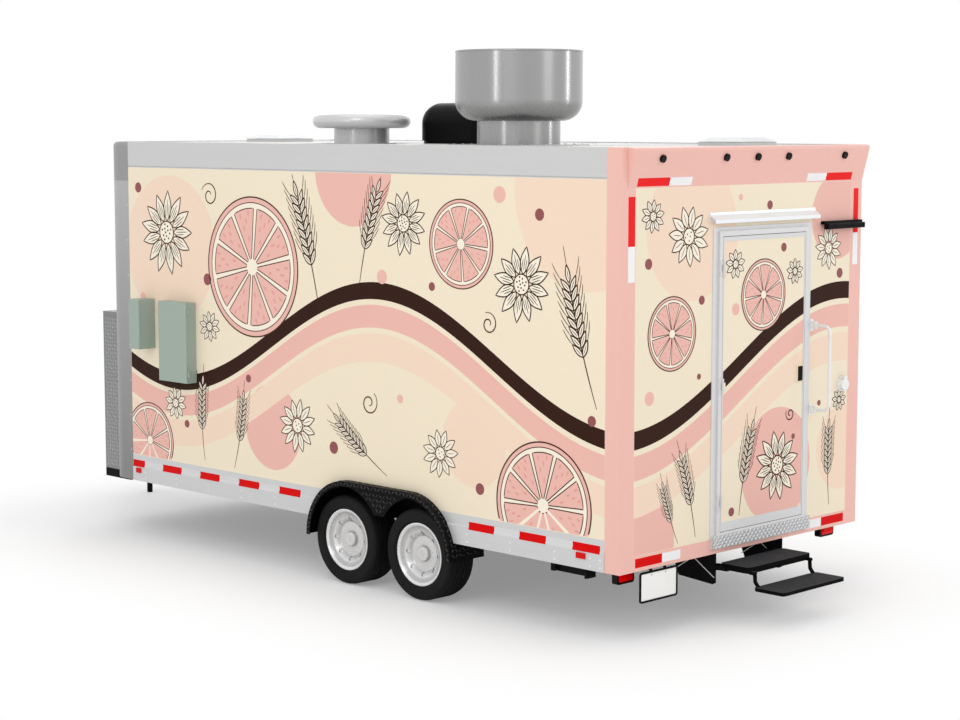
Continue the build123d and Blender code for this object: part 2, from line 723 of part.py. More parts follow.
def door_latch():
    """Pull paddle with a finger lip, hung in the door's latch pocket."""
    x, pivot_z = PADDLE_PIVOT
    low, high = LATCH_Z
    outline = [
        (-22, low + 2),
        (-14, low + 2),
        (-14, low + 10),
        (-18, low + 16),
        (-18, pivot_z - 6),
        (-8, pivot_z - 6),
        (-8, high - 2),
        (-22, high - 2),
    ]
    paddle = across(outline, LATCH_Y)
    return paddle - rod((x, LATCH_Y[0] - 1, pivot_z), (x, LATCH_Y[1] + 1, pivot_z), 3 + RUNNING_GAP)


def drip_cap():
    """Rain cap over the door: a wall flange and a sloping hood with a turned-down edge."""
    low, high, reach = 2656, 2727, -50
    outline = [
        (0, high),
        (-4, high),
        (-8, high - 18),
        (reach, low + 24),
        (reach, low),
        (reach + 4, low),
        (reach + 4, low + 21),
        (-6, high - 24),
        (-4, low + 10),
        (0, low + 10),
    ]
    return across(outline, span_from_left(875, 2030))


def grab_brackets():
    """Two screw-on brackets, each with a pair of ears and a hinge pin."""
    brackets = []
    for z in GRAB_HEIGHTS:
        plate = rounded_plate(z)
        for offset in (-26, 16):
            ear = block((GRAB_AXIS_X, -5), (GRAB_Y - 11, GRAB_Y + 11), (z + offset, z + offset + 10))
            ear += Pos(GRAB_AXIS_X, GRAB_Y, z + offset + 5) * Cylinder(11, 10)
            plate += ear
        plate += rod((GRAB_AXIS_X, GRAB_Y, z - 20), (GRAB_AXIS_X, GRAB_Y, z + 20), 5)
        brackets.append(plate)
    return brackets


def rounded_plate(z):
    """Upright wall plate with rounded corners for a grab-rail bracket."""
    plate = block((-6, 0), (GRAB_Y - 18, GRAB_Y + 18), (z - 43, z + 43))
    return fillet(plate.edges().filter_by(Axis.X), 12)


def grab_rail():
    """Folding grab rail: a bent tube with a hinge eye at each end."""
    low, high = GRAB_HEIGHTS
    points = [
        (GRAB_AXIS_X - 8, GRAB_Y, high),
        (GRAB_REACH, GRAB_Y, high),
        (GRAB_REACH, GRAB_Y, low),
        (GRAB_AXIS_X - 8, GRAB_Y, low),
    ]
    path = FilletPolyline(*points, radius=48)
    tube = sweep(Plane(origin=points[0], z_dir=(-1, 0, 0)) * Circle(11), path=path)
    for z in GRAB_HEIGHTS:
        tube += Pos(GRAB_AXIS_X, GRAB_Y, z) * Cylinder(12.5, 30)
        tube -= Pos(GRAB_AXIS_X, GRAB_Y, z) * Cylinder(5 + RUNNING_GAP, 60)
    return tube


def power_inlet():
    """Round shore-power inlet: flange, cup with contact blades and lid ears."""
    y, z = INLET_AT
    body = rod((0, y, z), (-8, y, z), INLET_RADIUS + 6)
    body += rod((-8, y, z), (INLET_FACE, y, z), INLET_RADIUS - 4)
    body -= rod((INLET_FACE - 1, y, z), (-8, y, z), INLET_RADIUS - 11)
    for angle in (90, 210, 330):
        dy, dz = 18 * math.cos(math.radians(angle)), 18 * math.sin(math.radians(angle))
        body += block((-24, -8), grown((y + dy, y + dy), 2), grown((z + dz, z + dz), 5))
    x, pivot_z = INLET_PIVOT
    for side in ((-20, -13), (13, 20)):
        span = (y + side[0], y + side[1])
        body += block((x - 6, -4), span, (z + INLET_RADIUS - 0.5, pivot_z + 6))
    return body + rod((x, y - 20, pivot_z), (x, y + 20, pivot_z), 3)


def inlet_lid():
    """Domed lid of the shore-power inlet, hinged at the top."""
    y, z = INLET_AT
    x, pivot_z = INLET_PIVOT
    lid = rod((INLET_FACE - 0.5, y, z), (INLET_FACE - 11, y, z), INLET_RADIUS - 2)
    lid = fillet(lid.edges().group_by(Axis.X)[0], 6)
    arm = block((INLET_FACE - 9, INLET_FACE - 1), grown((y, y), 12), (z + 30, pivot_z))
    knuckle = rod((x, y - 12, pivot_z), (x, y + 12, pivot_z), 6)
    return lid + arm + knuckle - rod((x, y - 13, pivot_z), (x, y + 13, pivot_z), 3 + RUNNING_GAP)


def light_bar():
    """Work-light bar under a wall channel at the rear right."""
    left, right = LIGHT_BAR
    low_z, high_z = LIGHT_BAR_Z
    bar = block((-72, -28), span_from_left(left, right), (low_z, high_z))
    bar = fillet(bar.edges().filter_by(Axis.Y), 8)
    bar -= block((-73, -66), span_from_left(left + 15, right - 15), (low_z + 9, high_z - 9))
    return bar + block((-40, 0), span_from_left(left, right + 12), (high_z - 6, high_z + 16))


def lamps():
    """Tail lamps under the rear frame, marker lamps on the header and on the skirts."""
    pieces = []
    for distance in (180, 2384):
        pieces.append(tail_lamp(distance))
    lean = VISOR_REACH / (ROOF_EDGE - 24 - HEADER_BOTTOM)
    marker_z = 3086
    face_x = -lean * (marker_z - HEADER_BOTTOM)
    tilt = math.degrees(math.atan(lean))
    for distance in (328, 977, 1313, 1650, 2300):
        lens = Rot(0, -90 - tilt, 0) * Cylinder(25, 16, align=(Align.CENTER, Align.CENTER, Align.MIN))
        pieces.append(Pos(face_x, from_left(distance), marker_z) * lens)
    for x in ((283, 361), (5040, 5100)):
        for side in both(block(x, (HALF + 5, HALF + 14), (522, 560))):
            pieces.append(side)
    return pieces


def tail_lamp(distance):
    """One tail lamp: a case with rounded corners, hung from the frame."""
    lamp = block((100, 145), span_from_left(distance - 84, distance + 84), (362, RAIL_BOTTOM))
    low_edges = lamp.edges().filter_by(Axis.X).group_by(Axis.Z)[0]
    return fillet(low_edges, 18)


def step_sides(layer):
    """Y pairs of the right and left plates at a given distance outside the treads' ends."""
    low, high = STEP_Y
    return [(low - layer - STEP_PLATE, low - layer), (high + layer, high + layer + STEP_PLATE)]


def arm_pivots(base):
    """Two pivots of the parallel arms, from the first one forward."""
    return [base, (base[0] + ARM_SPACING, base[1])]


def tread_pivot():
    """First pivot of the arms on the upper step."""
    return (STEP_PIVOT[0] + ARM_REACH[0], STEP_PIVOT[1] + ARM_REACH[1])


def step_brackets():
    """Side plates under the frame with pivot holes, joined by a top flange to the sill."""
    outline = [(4, RAIL_BOTTOM), (370, RAIL_BOTTOM), (370, 380), (320, 262), (30, 240), (4, 252)]
    plates = []
    for y in step_sides(BRACKET_LAYER):
        plate = across(outline, y)
        for x, z in arm_pivots(STEP_PIVOT):
            plate -= rod((x, y[0] - 1, z), (x, y[1] + 1, z), ARM_PIN + RUNNING_GAP)
        plates.append(plate)
    return plates


def step_arms(index):
    """Right and left arms of one parallel pair with their pins; the front pair runs inside."""
    start, end = arm_pivots(STEP_PIVOT)[index], arm_pivots(tread_pivot())[index]
    right, left = step_sides(ARM_LAYERS[index])
    outer = BRACKET_LAYER + STEP_PLATE
    low, high = STEP_Y
    pieces = []
    for y, frame_end, tread_end in (
        (right, low - outer, low + ARM_PIN_DEPTH),
        (left, high + outer, high - ARM_PIN_DEPTH),
    ):
        middle = (y[0] + y[1]) / 2
        arm = arm_plate(start, end, y)
        arm += rod((start[0], middle, start[1]), (start[0], frame_end, start[1]), ARM_PIN)
        arm += rod((end[0], middle, end[1]), (end[0], tread_end, end[1]), ARM_PIN)
        pieces.append(arm)
    return pieces


def arm_plate(start, end, y):
    """Flat arm with rounded ends between two pivots."""
    radius = 15
    run = math.hypot(end[0] - start[0], end[1] - start[1])
    slant = math.degrees(math.atan2(end[1] - start[1], end[0] - start[0]))
    plate = Pos((start[0] + end[0]) / 2, (y[0] + y[1]) / 2, (start[1] + end[1]) / 2)
    bar = plate * Rot(0, -slant, 0) * Box(run, y[1] - y[0], 2 * radius)
    for x, z in (start, end):
        bar += rod((x, y[0], z), (x, y[1], z), radius)
    return bar


def tread(x, top, skirt):
    """Step tread with rounded corners and a turned-down edge, hollow below."""
    plate = rounded_block(x, STEP_Y, (top - skirt, top), 26)
    hollow = rounded_block(grown(x, -5), grown(STEP_Y, -5), (top - skirt - 1, top - 6), 21)
    return plate - hollow


def upper_step():
    """Upper tread with side cheeks for the arms and lugs for the lower step's hinge."""
    step = tread(UPPER_TREAD, UPPER_TREAD_TOP, 42)
    cheek = [(-90, 370), (-90, 345), (-70, 338), (60, 338), (64, 345), (64, 376), (-10, 384)]
    low, high = STEP_Y
    for y in ((low, low + 10), (high - 10, high)):
        step += across(cheek, y)
    for y in ((low - 1, low + ARM_PIN_DEPTH), (high - ARM_PIN_DEPTH, high + 1)):
        for x, z in arm_pivots(tread_pivot()):
            step -= rod((x, y[0], z), (x, y[1], z), ARM_PIN + RUNNING_GAP)
    x, z = FOLD_PIVOT
    for end in lower_arm_sides():
        lug_y, pin_y = end["lug"], end["pin"]
        step += block((x - 4, UPPER_TREAD[0] + 16), lug_y, (z - 12, z + 12))
        step += rod((x, lug_y[0], z), (x, lug_y[1], z), 12)
        step += rod((x, pin_y[0], z), (x, pin_y[1], z), FOLD_PIN)
    return step


def lower_arm_sides():
    """Y pairs of the lower arm, the upper step's lug and its pin at each end of the step."""
    low, high = STEP_Y
    left = {"arm": (high - 46, high - 34), "lug": (high - 32, high - 22), "pin": (high - 46, high - 22)}
    right = {"arm": (low + 34, low + 46), "lug": (low + 22, low + 32), "pin": (low + 22, low + 46)}
    return (left, right)


def lower_step():
    """Lower tread on two swan-necked arms, hinged at the upper tread's front edge."""
    step = tread(LOWER_TREAD, LOWER_TREAD_TOP, 24)
    x, z = FOLD_PIVOT
    neck = FilletPolyline(
        (x, z),
        (x - 4, z - 58),
        (x - 40, LOWER_TREAD_TOP - 14),
        (x - 90, LOWER_TREAD_TOP - 14),
        radius=22,
    )
    for end in lower_arm_sides():
        arm_y = end["arm"]
        middle = (arm_y[0] + arm_y[1]) / 2
        path = Pos(0, middle, 0) * (Plane.XZ * neck)
        start = Plane(origin=path @ 0, x_dir=(0, 1, 0), z_dir=path % 0)
        section = start * Rectangle(arm_y[1] - arm_y[0], 24)
        arm = sweep(section, path=path)
        arm += rod((x, arm_y[0], z), (x, arm_y[1], z), 14)
        step += arm - rod((x, arm_y[0] - 1, z), (x, arm_y[1] + 1, z), FOLD_PIN + RUNNING_GAP)
    return step


def open_box(x, y, z, wall, open_face):
    """Five-walled box; open_face names the side that is left open."""
    inner = [grown(x, -wall), grown(y, -wall), grown(z, -wall)]
    index, end = {"top": (2, 1), "left": (1, 1), "bottom": (2, 0)}[open_face]
    pair = list(inner[index])
    pair[end] += (wall + 1) * (1 if end == 1 else -1)
    inner[index] = tuple(pair)
    return block(x, y, z) - block(*inner)


def front_box():
    """Storage box of welded panels on the front wall, open at the top, with the lid's hinge ears."""
    wall, low, high = 5, RAIL_BOTTOM, FRONT_BOX_TOP - LID_DEPTH
    x, y = (BODY_LENGTH, FRONT_BOX_FRONT), (-FRONT_FLAT, FRONT_FLAT)
    inner_x, sides = grown(x, -wall), (low + wall, high)
    pieces = [
        block(x, y, (low, low + wall)),
        block((x[0], inner_x[0]), y, sides),
        block((inner_x[1], x[1]), y, sides),
        *both(block(inner_x, (FRONT_FLAT - wall, FRONT_FLAT), sides)),
    ]
    lid_x, lid_z = LID_PIVOT
    for hinge_y in LID_HINGES:
        for ear in ((hinge_y - 60, hinge_y - 21), (hinge_y + 21, hinge_y + 60)):
            pieces.append(block((BODY_LENGTH, lid_x + 6), ear, (high, lid_z + 6)))
        pieces.append(rod((lid_x, hinge_y - 21, lid_z), (lid_x, hinge_y + 21, lid_z), 5))
    return pieces


def front_box_lid():
    """Lid of the front box with a turned-down edge, hinged by the front wall."""
    lid_x, lid_z = LID_PIVOT
    x = (lid_x + 16, FRONT_BOX_FRONT)
    lid = open_box(x, (-FRONT_FLAT, FRONT_FLAT), (FRONT_BOX_TOP - LID_DEPTH + 1, FRONT_BOX_TOP), 5, "bottom")
    for y in LID_HINGES:
        arm = block((lid_x, lid_x + 24), (y - 20, y + 20), (lid_z - 6, lid_z + 6))
        arm += rod((lid_x, y - 20, lid_z), (lid_x, y + 20, lid_z), 10)
        lid += arm
        lid -= rod((lid_x, y - 21, lid_z), (lid_x, y + 21, lid_z), 5 + RUNNING_GAP)
    return lid


def wall_box(x, z, depth, axis_x):
    """Electrical box on the left wall, open to the left, with a hinge pin at one edge."""
    box = open_box(x, (HALF, HALF + depth), z, 6, "left")
    outside = box_hinge(axis_x, depth)
    for span in hinge_spans(z):
        box += hinge_knuckle(outside, span[0], axis_x, x)
        box += hinge_knuckle(outside, span[2], axis_x, x)
        box += rod((*outside, span[0][0]), (*outside, span[2][1]), 3)
    return box


def box_hinge(axis_x, depth):
    """Plan point of a wall box's hinge axis."""
    return (axis_x, HALF + depth + 0.5)


def hinge_spans(z):
    """Three stacked knuckle spans near the top and the bottom of a box."""
    spans = []
    for middle in (z[0] + 70, z[1] - 70):
        low, high = (middle - 30, middle - 10.5), (middle + 10.5, middle + 30)
        spans.append([low, (middle - 10, middle + 10), high])
    return spans


def hinge_knuckle(axis, span, axis_x, x):
    """One knuckle of a wall box's hinge, joined to the box's side."""
    inward = 1 if axis_x < x[0] else -1
    near = x[0] if inward == 1 else x[1]
    reach = (min(axis_x, near), max(axis_x, near))
    knuckle = rod((*axis, span[0]), (*axis, span[1]), 6)
    return knuckle + block(reach, (axis[1] - 6, axis[1] - 1), span)


def wall_box_door(x, z, depth, axis_x):
    """Door of a wall box with a turned-in rim and its hinge knuckles."""
    low = HALF + depth + 1
    door = block(x, (low, HALF + depth + BOX_DOOR), z)
    face = door.faces().sort_by(Axis.Y)[-1]
    door = fillet(face.edges(), 5)
    axis = box_hinge(axis_x, depth)
    inward = 1 if axis_x < x[0] else -1
    near = x[0] if inward == 1 else x[1]
    for span in hinge_spans(z):
        middle = span[1]
        reach = (min(axis_x, near), max(axis_x, near))
        door += rod((*axis, middle[0]), (*axis, middle[1]), 6)
        door += block(reach, (axis[1] + 1, axis[1] + 6), middle)
        door -= rod((*axis, middle[0] - 1), (*axis, middle[1] + 1), 3 + RUNNING_GAP)
    return door


def roof_panel():
    """Roof between the rails, with openings and raised vent curbs."""
    panel = body_plate(WALL, (ROOF_BOTTOM, ROOF_TOP), WALL)
    for x, y in (FRONT_VENT, REAR_VENT):
        side = grown((0, 0), VENT_SIZE / 2)
        outer = grown(side, 14)
        curb = block(outer, outer, (ROOF_TOP, VENT_CURB)) - block(side, side, (ROOF_TOP - 1, VENT_CURB + 1))
        panel += Pos(x, y, 0) * curb
        panel -= Pos(x, y, 0) * block(side, side, (ROOF_BOTTOM - 1, VENT_CURB + 1))
        panel += Pos(x, y, 0) * vent_hinge((-70, -21))
        panel += Pos(x, y, 0) * vent_hinge((21, 70))
        pivot_x, pivot_z = VENT_PIVOT
        panel += Pos(x, y, 0) * rod((pivot_x, -70, pivot_z), (pivot_x, 70, pivot_z), 3)
    panel -= Pos(*FAN_AT, ROOF_TOP) * Box(2 * DUCT_HALF, 2 * DUCT_HALF, 200)
    return panel - Pos(*CAP_AT, ROOF_TOP) * Cylinder(CAP_BORE - 15, 200)


def vent_hinge(span):
    """Hinge ear on a vent curb's front side."""
    x, z = VENT_PIVOT
    ear = block((VENT_SIZE / 2 + 14, x), span, (ROOF_TOP, z))
    return ear + rod((x, span[0], z), (x, span[1], z), 5)


def vent_lid(at):
    """Low pyramid lid of a roof vent, hollow below, hinged on its front side."""
    low, high = VENT_CURB + 2, VENT_CURB + 30
    outer, inner = VENT_SIZE + 44, VENT_SIZE - 100
    crown = Rectangle(inner, inner)
    lid = loft([Pos(0, 0, low) * Rectangle(outer, outer), Pos(0, 0, high) * crown])
    lid -= loft([Pos(0, 0, low - 1) * Rectangle(outer - 14, outer - 14), Pos(0, 0, high - 5) * crown])
    x, z = VENT_PIVOT
    lid -= block((outer / 2 - 14, x + 10), (-75, 75), (low - 1, low + 8))
    arm = block((outer / 2 - 20, x), (-20, 20), (low + 1, low + 7))
    lid += arm + rod((x, -20, z), (x, 20, z), 5)
    return Pos(*at, 0) * (lid - rod((x, -21, z), (x, 21, z), 3 + RUNNING_GAP))


def fan_base():
    """Exhaust fan's roof plate and round neck."""
    base = block(grown((0, 0), 350), grown((0, 0), 350), (ROOF_TOP, ROOF_TOP + 8))
    base += rod((0, 0, ROOF_TOP), (0, 0, BOWL_BOTTOM), NECK_RADIUS)
    base -= rod((0, 0, ROOF_TOP - 1), (0, 0, BOWL_BOTTOM + 1), NECK_RADIUS - SHEET)
    return Pos(*FAN_AT, 0) * base


def fan_bowl():
    """Spun wind band: flat floor, large rounded turn, straight drum with a rolled rim."""
    turn, shell = 142, 4
    outer = FAN_RADIUS
    floor_inner = NECK_RADIUS - 30

    def band(offset):
        """Outer or inner line of the wind band as connected edges."""
        radius = outer - offset
        corner = turn - offset
        start = (floor_inner, BOWL_BOTTOM + offset)
        bend = (radius - corner, BOWL_BOTTOM + offset)
        inset = corner * (1 - math.sqrt(0.5))
        middle = (radius - inset, BOWL_BOTTOM + offset + inset)
        up = (radius, BOWL_BOTTOM + offset + corner)
        top = (radius, BOWL_TOP - 14)
        return [Line(start, bend), ThreePointArc(bend, middle, up), Line(up, top)]

    outside, inside = band(0), band(shell)
    caps = [Line(outside[0] @ 0, inside[0] @ 0), Line(outside[-1] @ 1, inside[-1] @ 1)]
    face = make_face([Plane.XZ * edge for edge in (*outside, *inside, *caps)])
    bowl = revolve(face, Axis.Z)
    bowl += Pos(0, 0, BOWL_TOP - 8) * Torus(outer - 6, 8)
    return Pos(*FAN_AT, 0) * bowl


def fan_motor():
    """Motor housing with a domed cover, held in the wind band by three struts."""
    low, high, radius = BOWL_BOTTOM + 110, BOWL_TOP - 40, 190
    outline = [(0, low), (radius, low), (radius, high - 50), (radius - 60, high), (0, high)]
    motor = turned(outline)
    for angle in (30, 150, 270):
        strut = block((radius - 10, FAN_RADIUS - SHEET), (-12, 12), (BOWL_BOTTOM + 230, BOWL_BOTTOM + 262))
        motor += Rot(0, 0, angle) * strut
    motor -= rod((0, 0, low - 1), (0, 0, low + 60), 12 + RUNNING_GAP)
    keep = rod((0, 0, low), (0, 0, BOWL_TOP), FAN_RADIUS - SHEET - 0.2)
    return Pos(*FAN_AT, 0) * (motor & keep)


def fan_wheel():
    """Backward-inclined fan wheel: back plate, inlet ring, curved blades and shaft."""
    low, high, radius = BOWL_BOTTOM + 14, BOWL_BOTTOM + 96, 262
    blade_count = 9
    wheel = turned([(0, high - 5), (radius, high - 5), (radius, high), (0, high)])
    wheel += turned([(170, low), (radius, low), (radius, low + 4), (178, low + 4)])
    for index in range(blade_count):
        turn = 360 * index / blade_count
        start, bend, end = (120, 0), (186, 44), (radius - 6, 58)
        line = ThreePointArc(start, bend, end)
        blade = Pos(0, 0, low + 2) * extrude(trace(line, 4), amount=high - low - 4)
        wheel += Rot(0, 0, turn) * blade
    wheel += rod((0, 0, high - 30), (0, 0, BOWL_BOTTOM + 165), 12)
    return Pos(*FAN_AT, 0) * wheel


def cap_edges(offset):
    """Outer or inner line of the mushroom cap: flat crown and a fully rounded edge."""
    radius = (CAP_HIGH - CAP_LOW) / 2
    turn, middle = CAP_RADIUS - radius, (CAP_HIGH + CAP_LOW) / 2
    edge = radius - offset
    crown = Line((0, middle + edge), (turn, middle + edge))
    return [crown, ThreePointArc((turn, middle + edge), (turn + edge, middle), (turn, middle - edge))]


def vent_cap():
    """Mushroom vent: flanged stem and a hollow spun cap on four fins."""
    shell = 5
    flange = rod((0, 0, ROOF_TOP), (0, 0, ROOF_TOP + 5), CAP_BORE + 45)
    stem = rod((0, 0, ROOF_TOP), (0, 0, CAP_LOW + 30), CAP_BORE + 5)
    bore = rod((0, 0, ROOF_TOP - 1), (0, 0, CAP_LOW + 31), CAP_BORE)
    outside, inside = cap_edges(0), cap_edges(shell)
    ends = [Line(outside[0] @ 0, inside[0] @ 0), Line(outside[1] @ 1, inside[1] @ 1)]
    cap = revolve(make_face([Plane.XZ * edge for edge in (*outside, *inside, *ends)]), Axis.Z)
    body = flange + stem - bore + cap
    fin = block((CAP_BORE + 1, CAP_RADIUS - 60), (-3, 3), (CAP_LOW + 2, CAP_HIGH - 2))
    for angle in (45, 135, 225, 315):
        body += Rot(0, 0, angle) * fin
    return Pos(*CAP_AT, 0) * body


def air_conditioner():
    """Roof air conditioner: smooth moulded shroud on a base pan, louvre slots in its front end."""
    shroud = rounded_block(AC_X, AC_Y, (ROOF_TOP + 22, AC_TOP), AC_ROUND + 5)
    shroud = fillet(shroud.faces().sort_by(Axis.Z)[-1].edges(), AC_ROUND)
    for index in range(6):
        y = AC_Y[0] + 170 + 62 * index
        shroud -= block((AC_X[1] - 14, AC_X[1] + 1), (y, y + 34), (ROOF_TOP + 70, ROOF_TOP + 170))
    pan = rounded_block(grown(AC_X, -14), grown(AC_Y, -14), (ROOF_TOP, ROOF_TOP + 22), AC_ROUND - 9)
    return shroud + pan


def hinge_strips():
    """Fixed hinge halves of the hatch and the shelf on the right-hand wall."""
    pieces = []
    for y, z in (HATCH_PIVOT, SHELF_PIVOT):
        for x in HATCH_HINGES:
            strip = Part()
            for span in ((x - 60, x - 21), (x + 21, x + 60)):
                strip += block(span, (y, -HALF), (z - 7, z + 7)) + rod((span[0], y, z), (span[1], y, z), 7)
            pieces.append(strip + rod((x - 60, y, z), (x + 60, y, z), 4))
    return pieces


def moving_knuckle(x, pivot, z_end):
    """Knuckle and strap of a hatch or shelf hinge."""
    y, z = pivot
    strap = block((x - 20, x + 20), (y - 4, y + 4), (min(z, z_end), max(z, z_end)))
    knuckle = strap + rod((x - 20, y, z), (x + 20, y, z), 7)
    return knuckle - rod((x - 21, y, z), (x + 21, y, z), 4 + RUNNING_GAP)


def serving_hatch():
    """Awning door over the serving opening: framed panel hinged at the top."""
    x, z = grown(HATCH_X, HATCH_LAP), grown(HATCH_Z, HATCH_LAP)
    y = (-HALF - 1 - HATCH_THICKNESS, -HALF - 1)
    panel = block(x, y, z)
    panel -= block(grown(x, -45), (y[1] - 28, y[1] + 1), grown(z, -45))
    for at in HATCH_HINGES:
        panel += moving_knuckle(at, HATCH_PIVOT, z[1] - 5)
    return panel


def serving_shelf():
    """Fold-down serving shelf hanging below the opening."""
    y = (-HALF - 6 - SHELF_THICKNESS, -HALF - 6)
    shelf = block(HATCH_X, y, SHELF_Z)
    shelf -= block(grown(HATCH_X, -40), (y[1] - 20, y[1] + 1), grown(SHELF_Z, -40))
    for at in HATCH_HINGES:
        shelf += moving_knuckle(at, SHELF_PIVOT, SHELF_Z[1] - 5)
    return shelf


def exhaust_hood():
    """Kitchen hood under the exhaust fan with its duct to the roof."""
    x, y = grown((FAN_AT[0], FAN_AT[0]), 600), (FAN_AT[1] - DUCT_HALF - 60, INSIDE)
    low, shoulder, thick = 2440, 2560, 3
    hood = open_box(x, y, (low, shoulder), thick, "bottom")
    duct = grown((0, 0), DUCT_HALF)
    collar = block(duct, duct, (shoulder, ROOF_BOTTOM))
    bore = block(grown(duct, -thick), grown(duct, -thick), (low + 50, ROOF_BOTTOM + 1))
    return hood + Pos(*FAN_AT, 0) * collar - Pos(*FAN_AT, 0) * bore


def work_counter():
    """Stainless counter along the left wall: top with a splashback, sink basins, shelf and legs."""
    x, y = (1000, 4600), (600, INSIDE)
    top, thick, shelf = FLOOR_TOP + 900, 40, FLOOR_TOP + 280
    counter = block(x, y, (top - thick, top))
    counter += block(x, (INSIDE - 12, INSIDE), (top, top + 120))
    for start in (3560, 4060):
        basin = (start, start + 430)
        inside = (y[0] + 90, y[1] - 130)
        counter += block(basin, inside, (top - 240, top))
        counter -= block(grown(basin, -4), grown(inside, -4), (top - 236, top + 1))
    counter += block(x, y, (shelf, shelf + 20))
    for leg_x in (1040, 1420, 3010, 3500, 4520):
        for leg_y in (y[0] + 30, INSIDE - 60):
            counter += block((leg_x, leg_x + 40), (leg_y, leg_y + 40), (FLOOR_TOP, top - thick))
    return counter


def main():
    """Build every node and write it."""
    os.makedirs("parts", exist_ok=True)
    save("chassis_frame", *chassis_frame())
    save("left_stabiliser", stabiliser())
    save("right_stabiliser", to_right(stabiliser()))
    save("hitch_coupler", coupler())
    save("coupler_latch", coupler_latch())
    save("jack_tube", jack_tube())
    save("jack_leg", jack_leg())
    save("jack_crank", jack_crank())
    save("axles", *axles())
    tyre_solid, wheel_solid = tyre(), steel_wheel()
    for end, x in AXLE_STATIONS.items():
        save(f"{end}_left_tyre", place_wheel(tyre_solid, x))
        save(f"{end}_right_tyre", to_right(place_wheel(tyre_solid, x)))
        save(f"{end}_left_wheel", place_wheel(wheel_solid, x))
        save(f"{end}_right_wheel", to_right(place_wheel(wheel_solid, x)))
    save("fenders", *both(fender()))
    save("floor_deck", floor_deck())
    save("left_wall", side_wall())
    save("right_wall", right_wall(), *hinge_strips())
    front = block((FRONT_INSIDE, BODY_LENGTH), (-FRONT_FLAT, FRONT_FLAT), (FRAME_TOP, WALL_TOP))
    save("front_wall", front)
    save("rear_wall", rear_wall())
    save("side_skirts", *both(skirt()))
    save("top_rails", *top_rails())
    corner = [*corner_post(), corner_cap()]
    save("front_corner_posts", *[piece for half in corner for piece in both(half)])
    save("rear_frame", rear_frame())
    save("roof_panel", roof_panel())
    save("door_frame", door_frame(), drip_cap())
    save("rear_door", rear_door())
    save("door_latch", door_latch())
    save("grab_brackets", *grab_brackets())
    save("grab_rail", grab_rail())
    save("power_inlet", power_inlet())
    save("inlet_lid", inlet_lid())
    save("light_bar", light_bar())
    save("lamps", *lamps())
    save("step_brackets", *step_brackets())
    save("step_rear_arms", *step_arms(0))
    save("step_front_arms", *step_arms(1))
    save("upper_step", upper_step())
    save("lower_step", lower_step())
    save("front_box", *front_box())
    save("front_box_lid", front_box_lid())
    save("breaker_box", wall_box(BREAKER_X, BREAKER_Z, BREAKER_DEPTH, BREAKER_HINGE))
    save("breaker_door", wall_box_door(BREAKER_X, BREAKER_Z, BREAKER_DEPTH, BREAKER_HINGE))
    save("disconnect_box", wall_box(DISCONNECT_X, DISCONNECT_Z, DISCONNECT_DEPTH, DISCONNECT_HINGE))
    save("disconnect_door", wall_box_door(DISCONNECT_X, DISCONNECT_Z, DISCONNECT_DEPTH, DISCONNECT_HINGE))
    save("fan_base", fan_base())
    save("fan_bowl", fan_bowl())
    save("fan_motor", fan_motor())
    save("fan_wheel", fan_wheel())
    save("vent_cap", vent_cap())
    save("air_conditioner", air_conditioner())
    save("front_vent_lid", vent_lid(FRONT_VENT))
    save("rear_vent_lid", vent_lid(REAR_VENT))
    save("serving_hatch", serving_hatch())
    save("serving_shelf", serving_shelf())
    save("exhaust_hood", exhaust_hood())
    save("work_counter", work_counter())


main()
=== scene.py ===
"""Food trailer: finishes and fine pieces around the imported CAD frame.

Lengths are metres. Stations: X forward from the rear face, Y left from the centreline, Z up.
On the rear face, along means the distance from the left corner.
"""
import math
from functools import cached_property
from itertools import groupby

import bmesh
import bpy
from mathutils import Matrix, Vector


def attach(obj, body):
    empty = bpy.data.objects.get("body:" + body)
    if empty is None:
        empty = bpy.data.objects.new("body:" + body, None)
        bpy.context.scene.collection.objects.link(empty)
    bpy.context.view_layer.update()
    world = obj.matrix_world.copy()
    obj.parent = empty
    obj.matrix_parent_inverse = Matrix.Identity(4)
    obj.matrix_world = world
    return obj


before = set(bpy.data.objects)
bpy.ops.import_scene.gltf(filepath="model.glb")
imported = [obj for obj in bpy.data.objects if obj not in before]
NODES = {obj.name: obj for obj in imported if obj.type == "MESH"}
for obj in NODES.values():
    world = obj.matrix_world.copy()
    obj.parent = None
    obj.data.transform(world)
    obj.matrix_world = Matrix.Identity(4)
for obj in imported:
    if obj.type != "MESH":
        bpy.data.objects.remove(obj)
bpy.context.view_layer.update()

# Stations to the frame's origin
ORIGIN = Vector((3.305, 0.049, 0.0))

# A head is (radius, height) or (radius, height, sides) and starts SUNK below its face. A lift is the heights
# at which a piece starts and ends. Smooth shading breaks at the sharp angle.
SUNK = 0.001
SHARP_ANGLE = math.radians(40)

# Body
SIDES = (("left", 1), ("right", -1))
HALF = 1.295
WIDTH = 2 * HALF
LENGTH = 5.486
SKIRT_TOP = 0.664
WALL_TOP = 2.957
POST_SIDE = 0.127
POST_REAR = 0.132
COLUMN_START = 5.150
SILL_TOP = 0.556
HEADER_BOTTOM = 2.902
HEADER_LEAN = 0.060 / 0.231
ROOF_TOP = 3.150

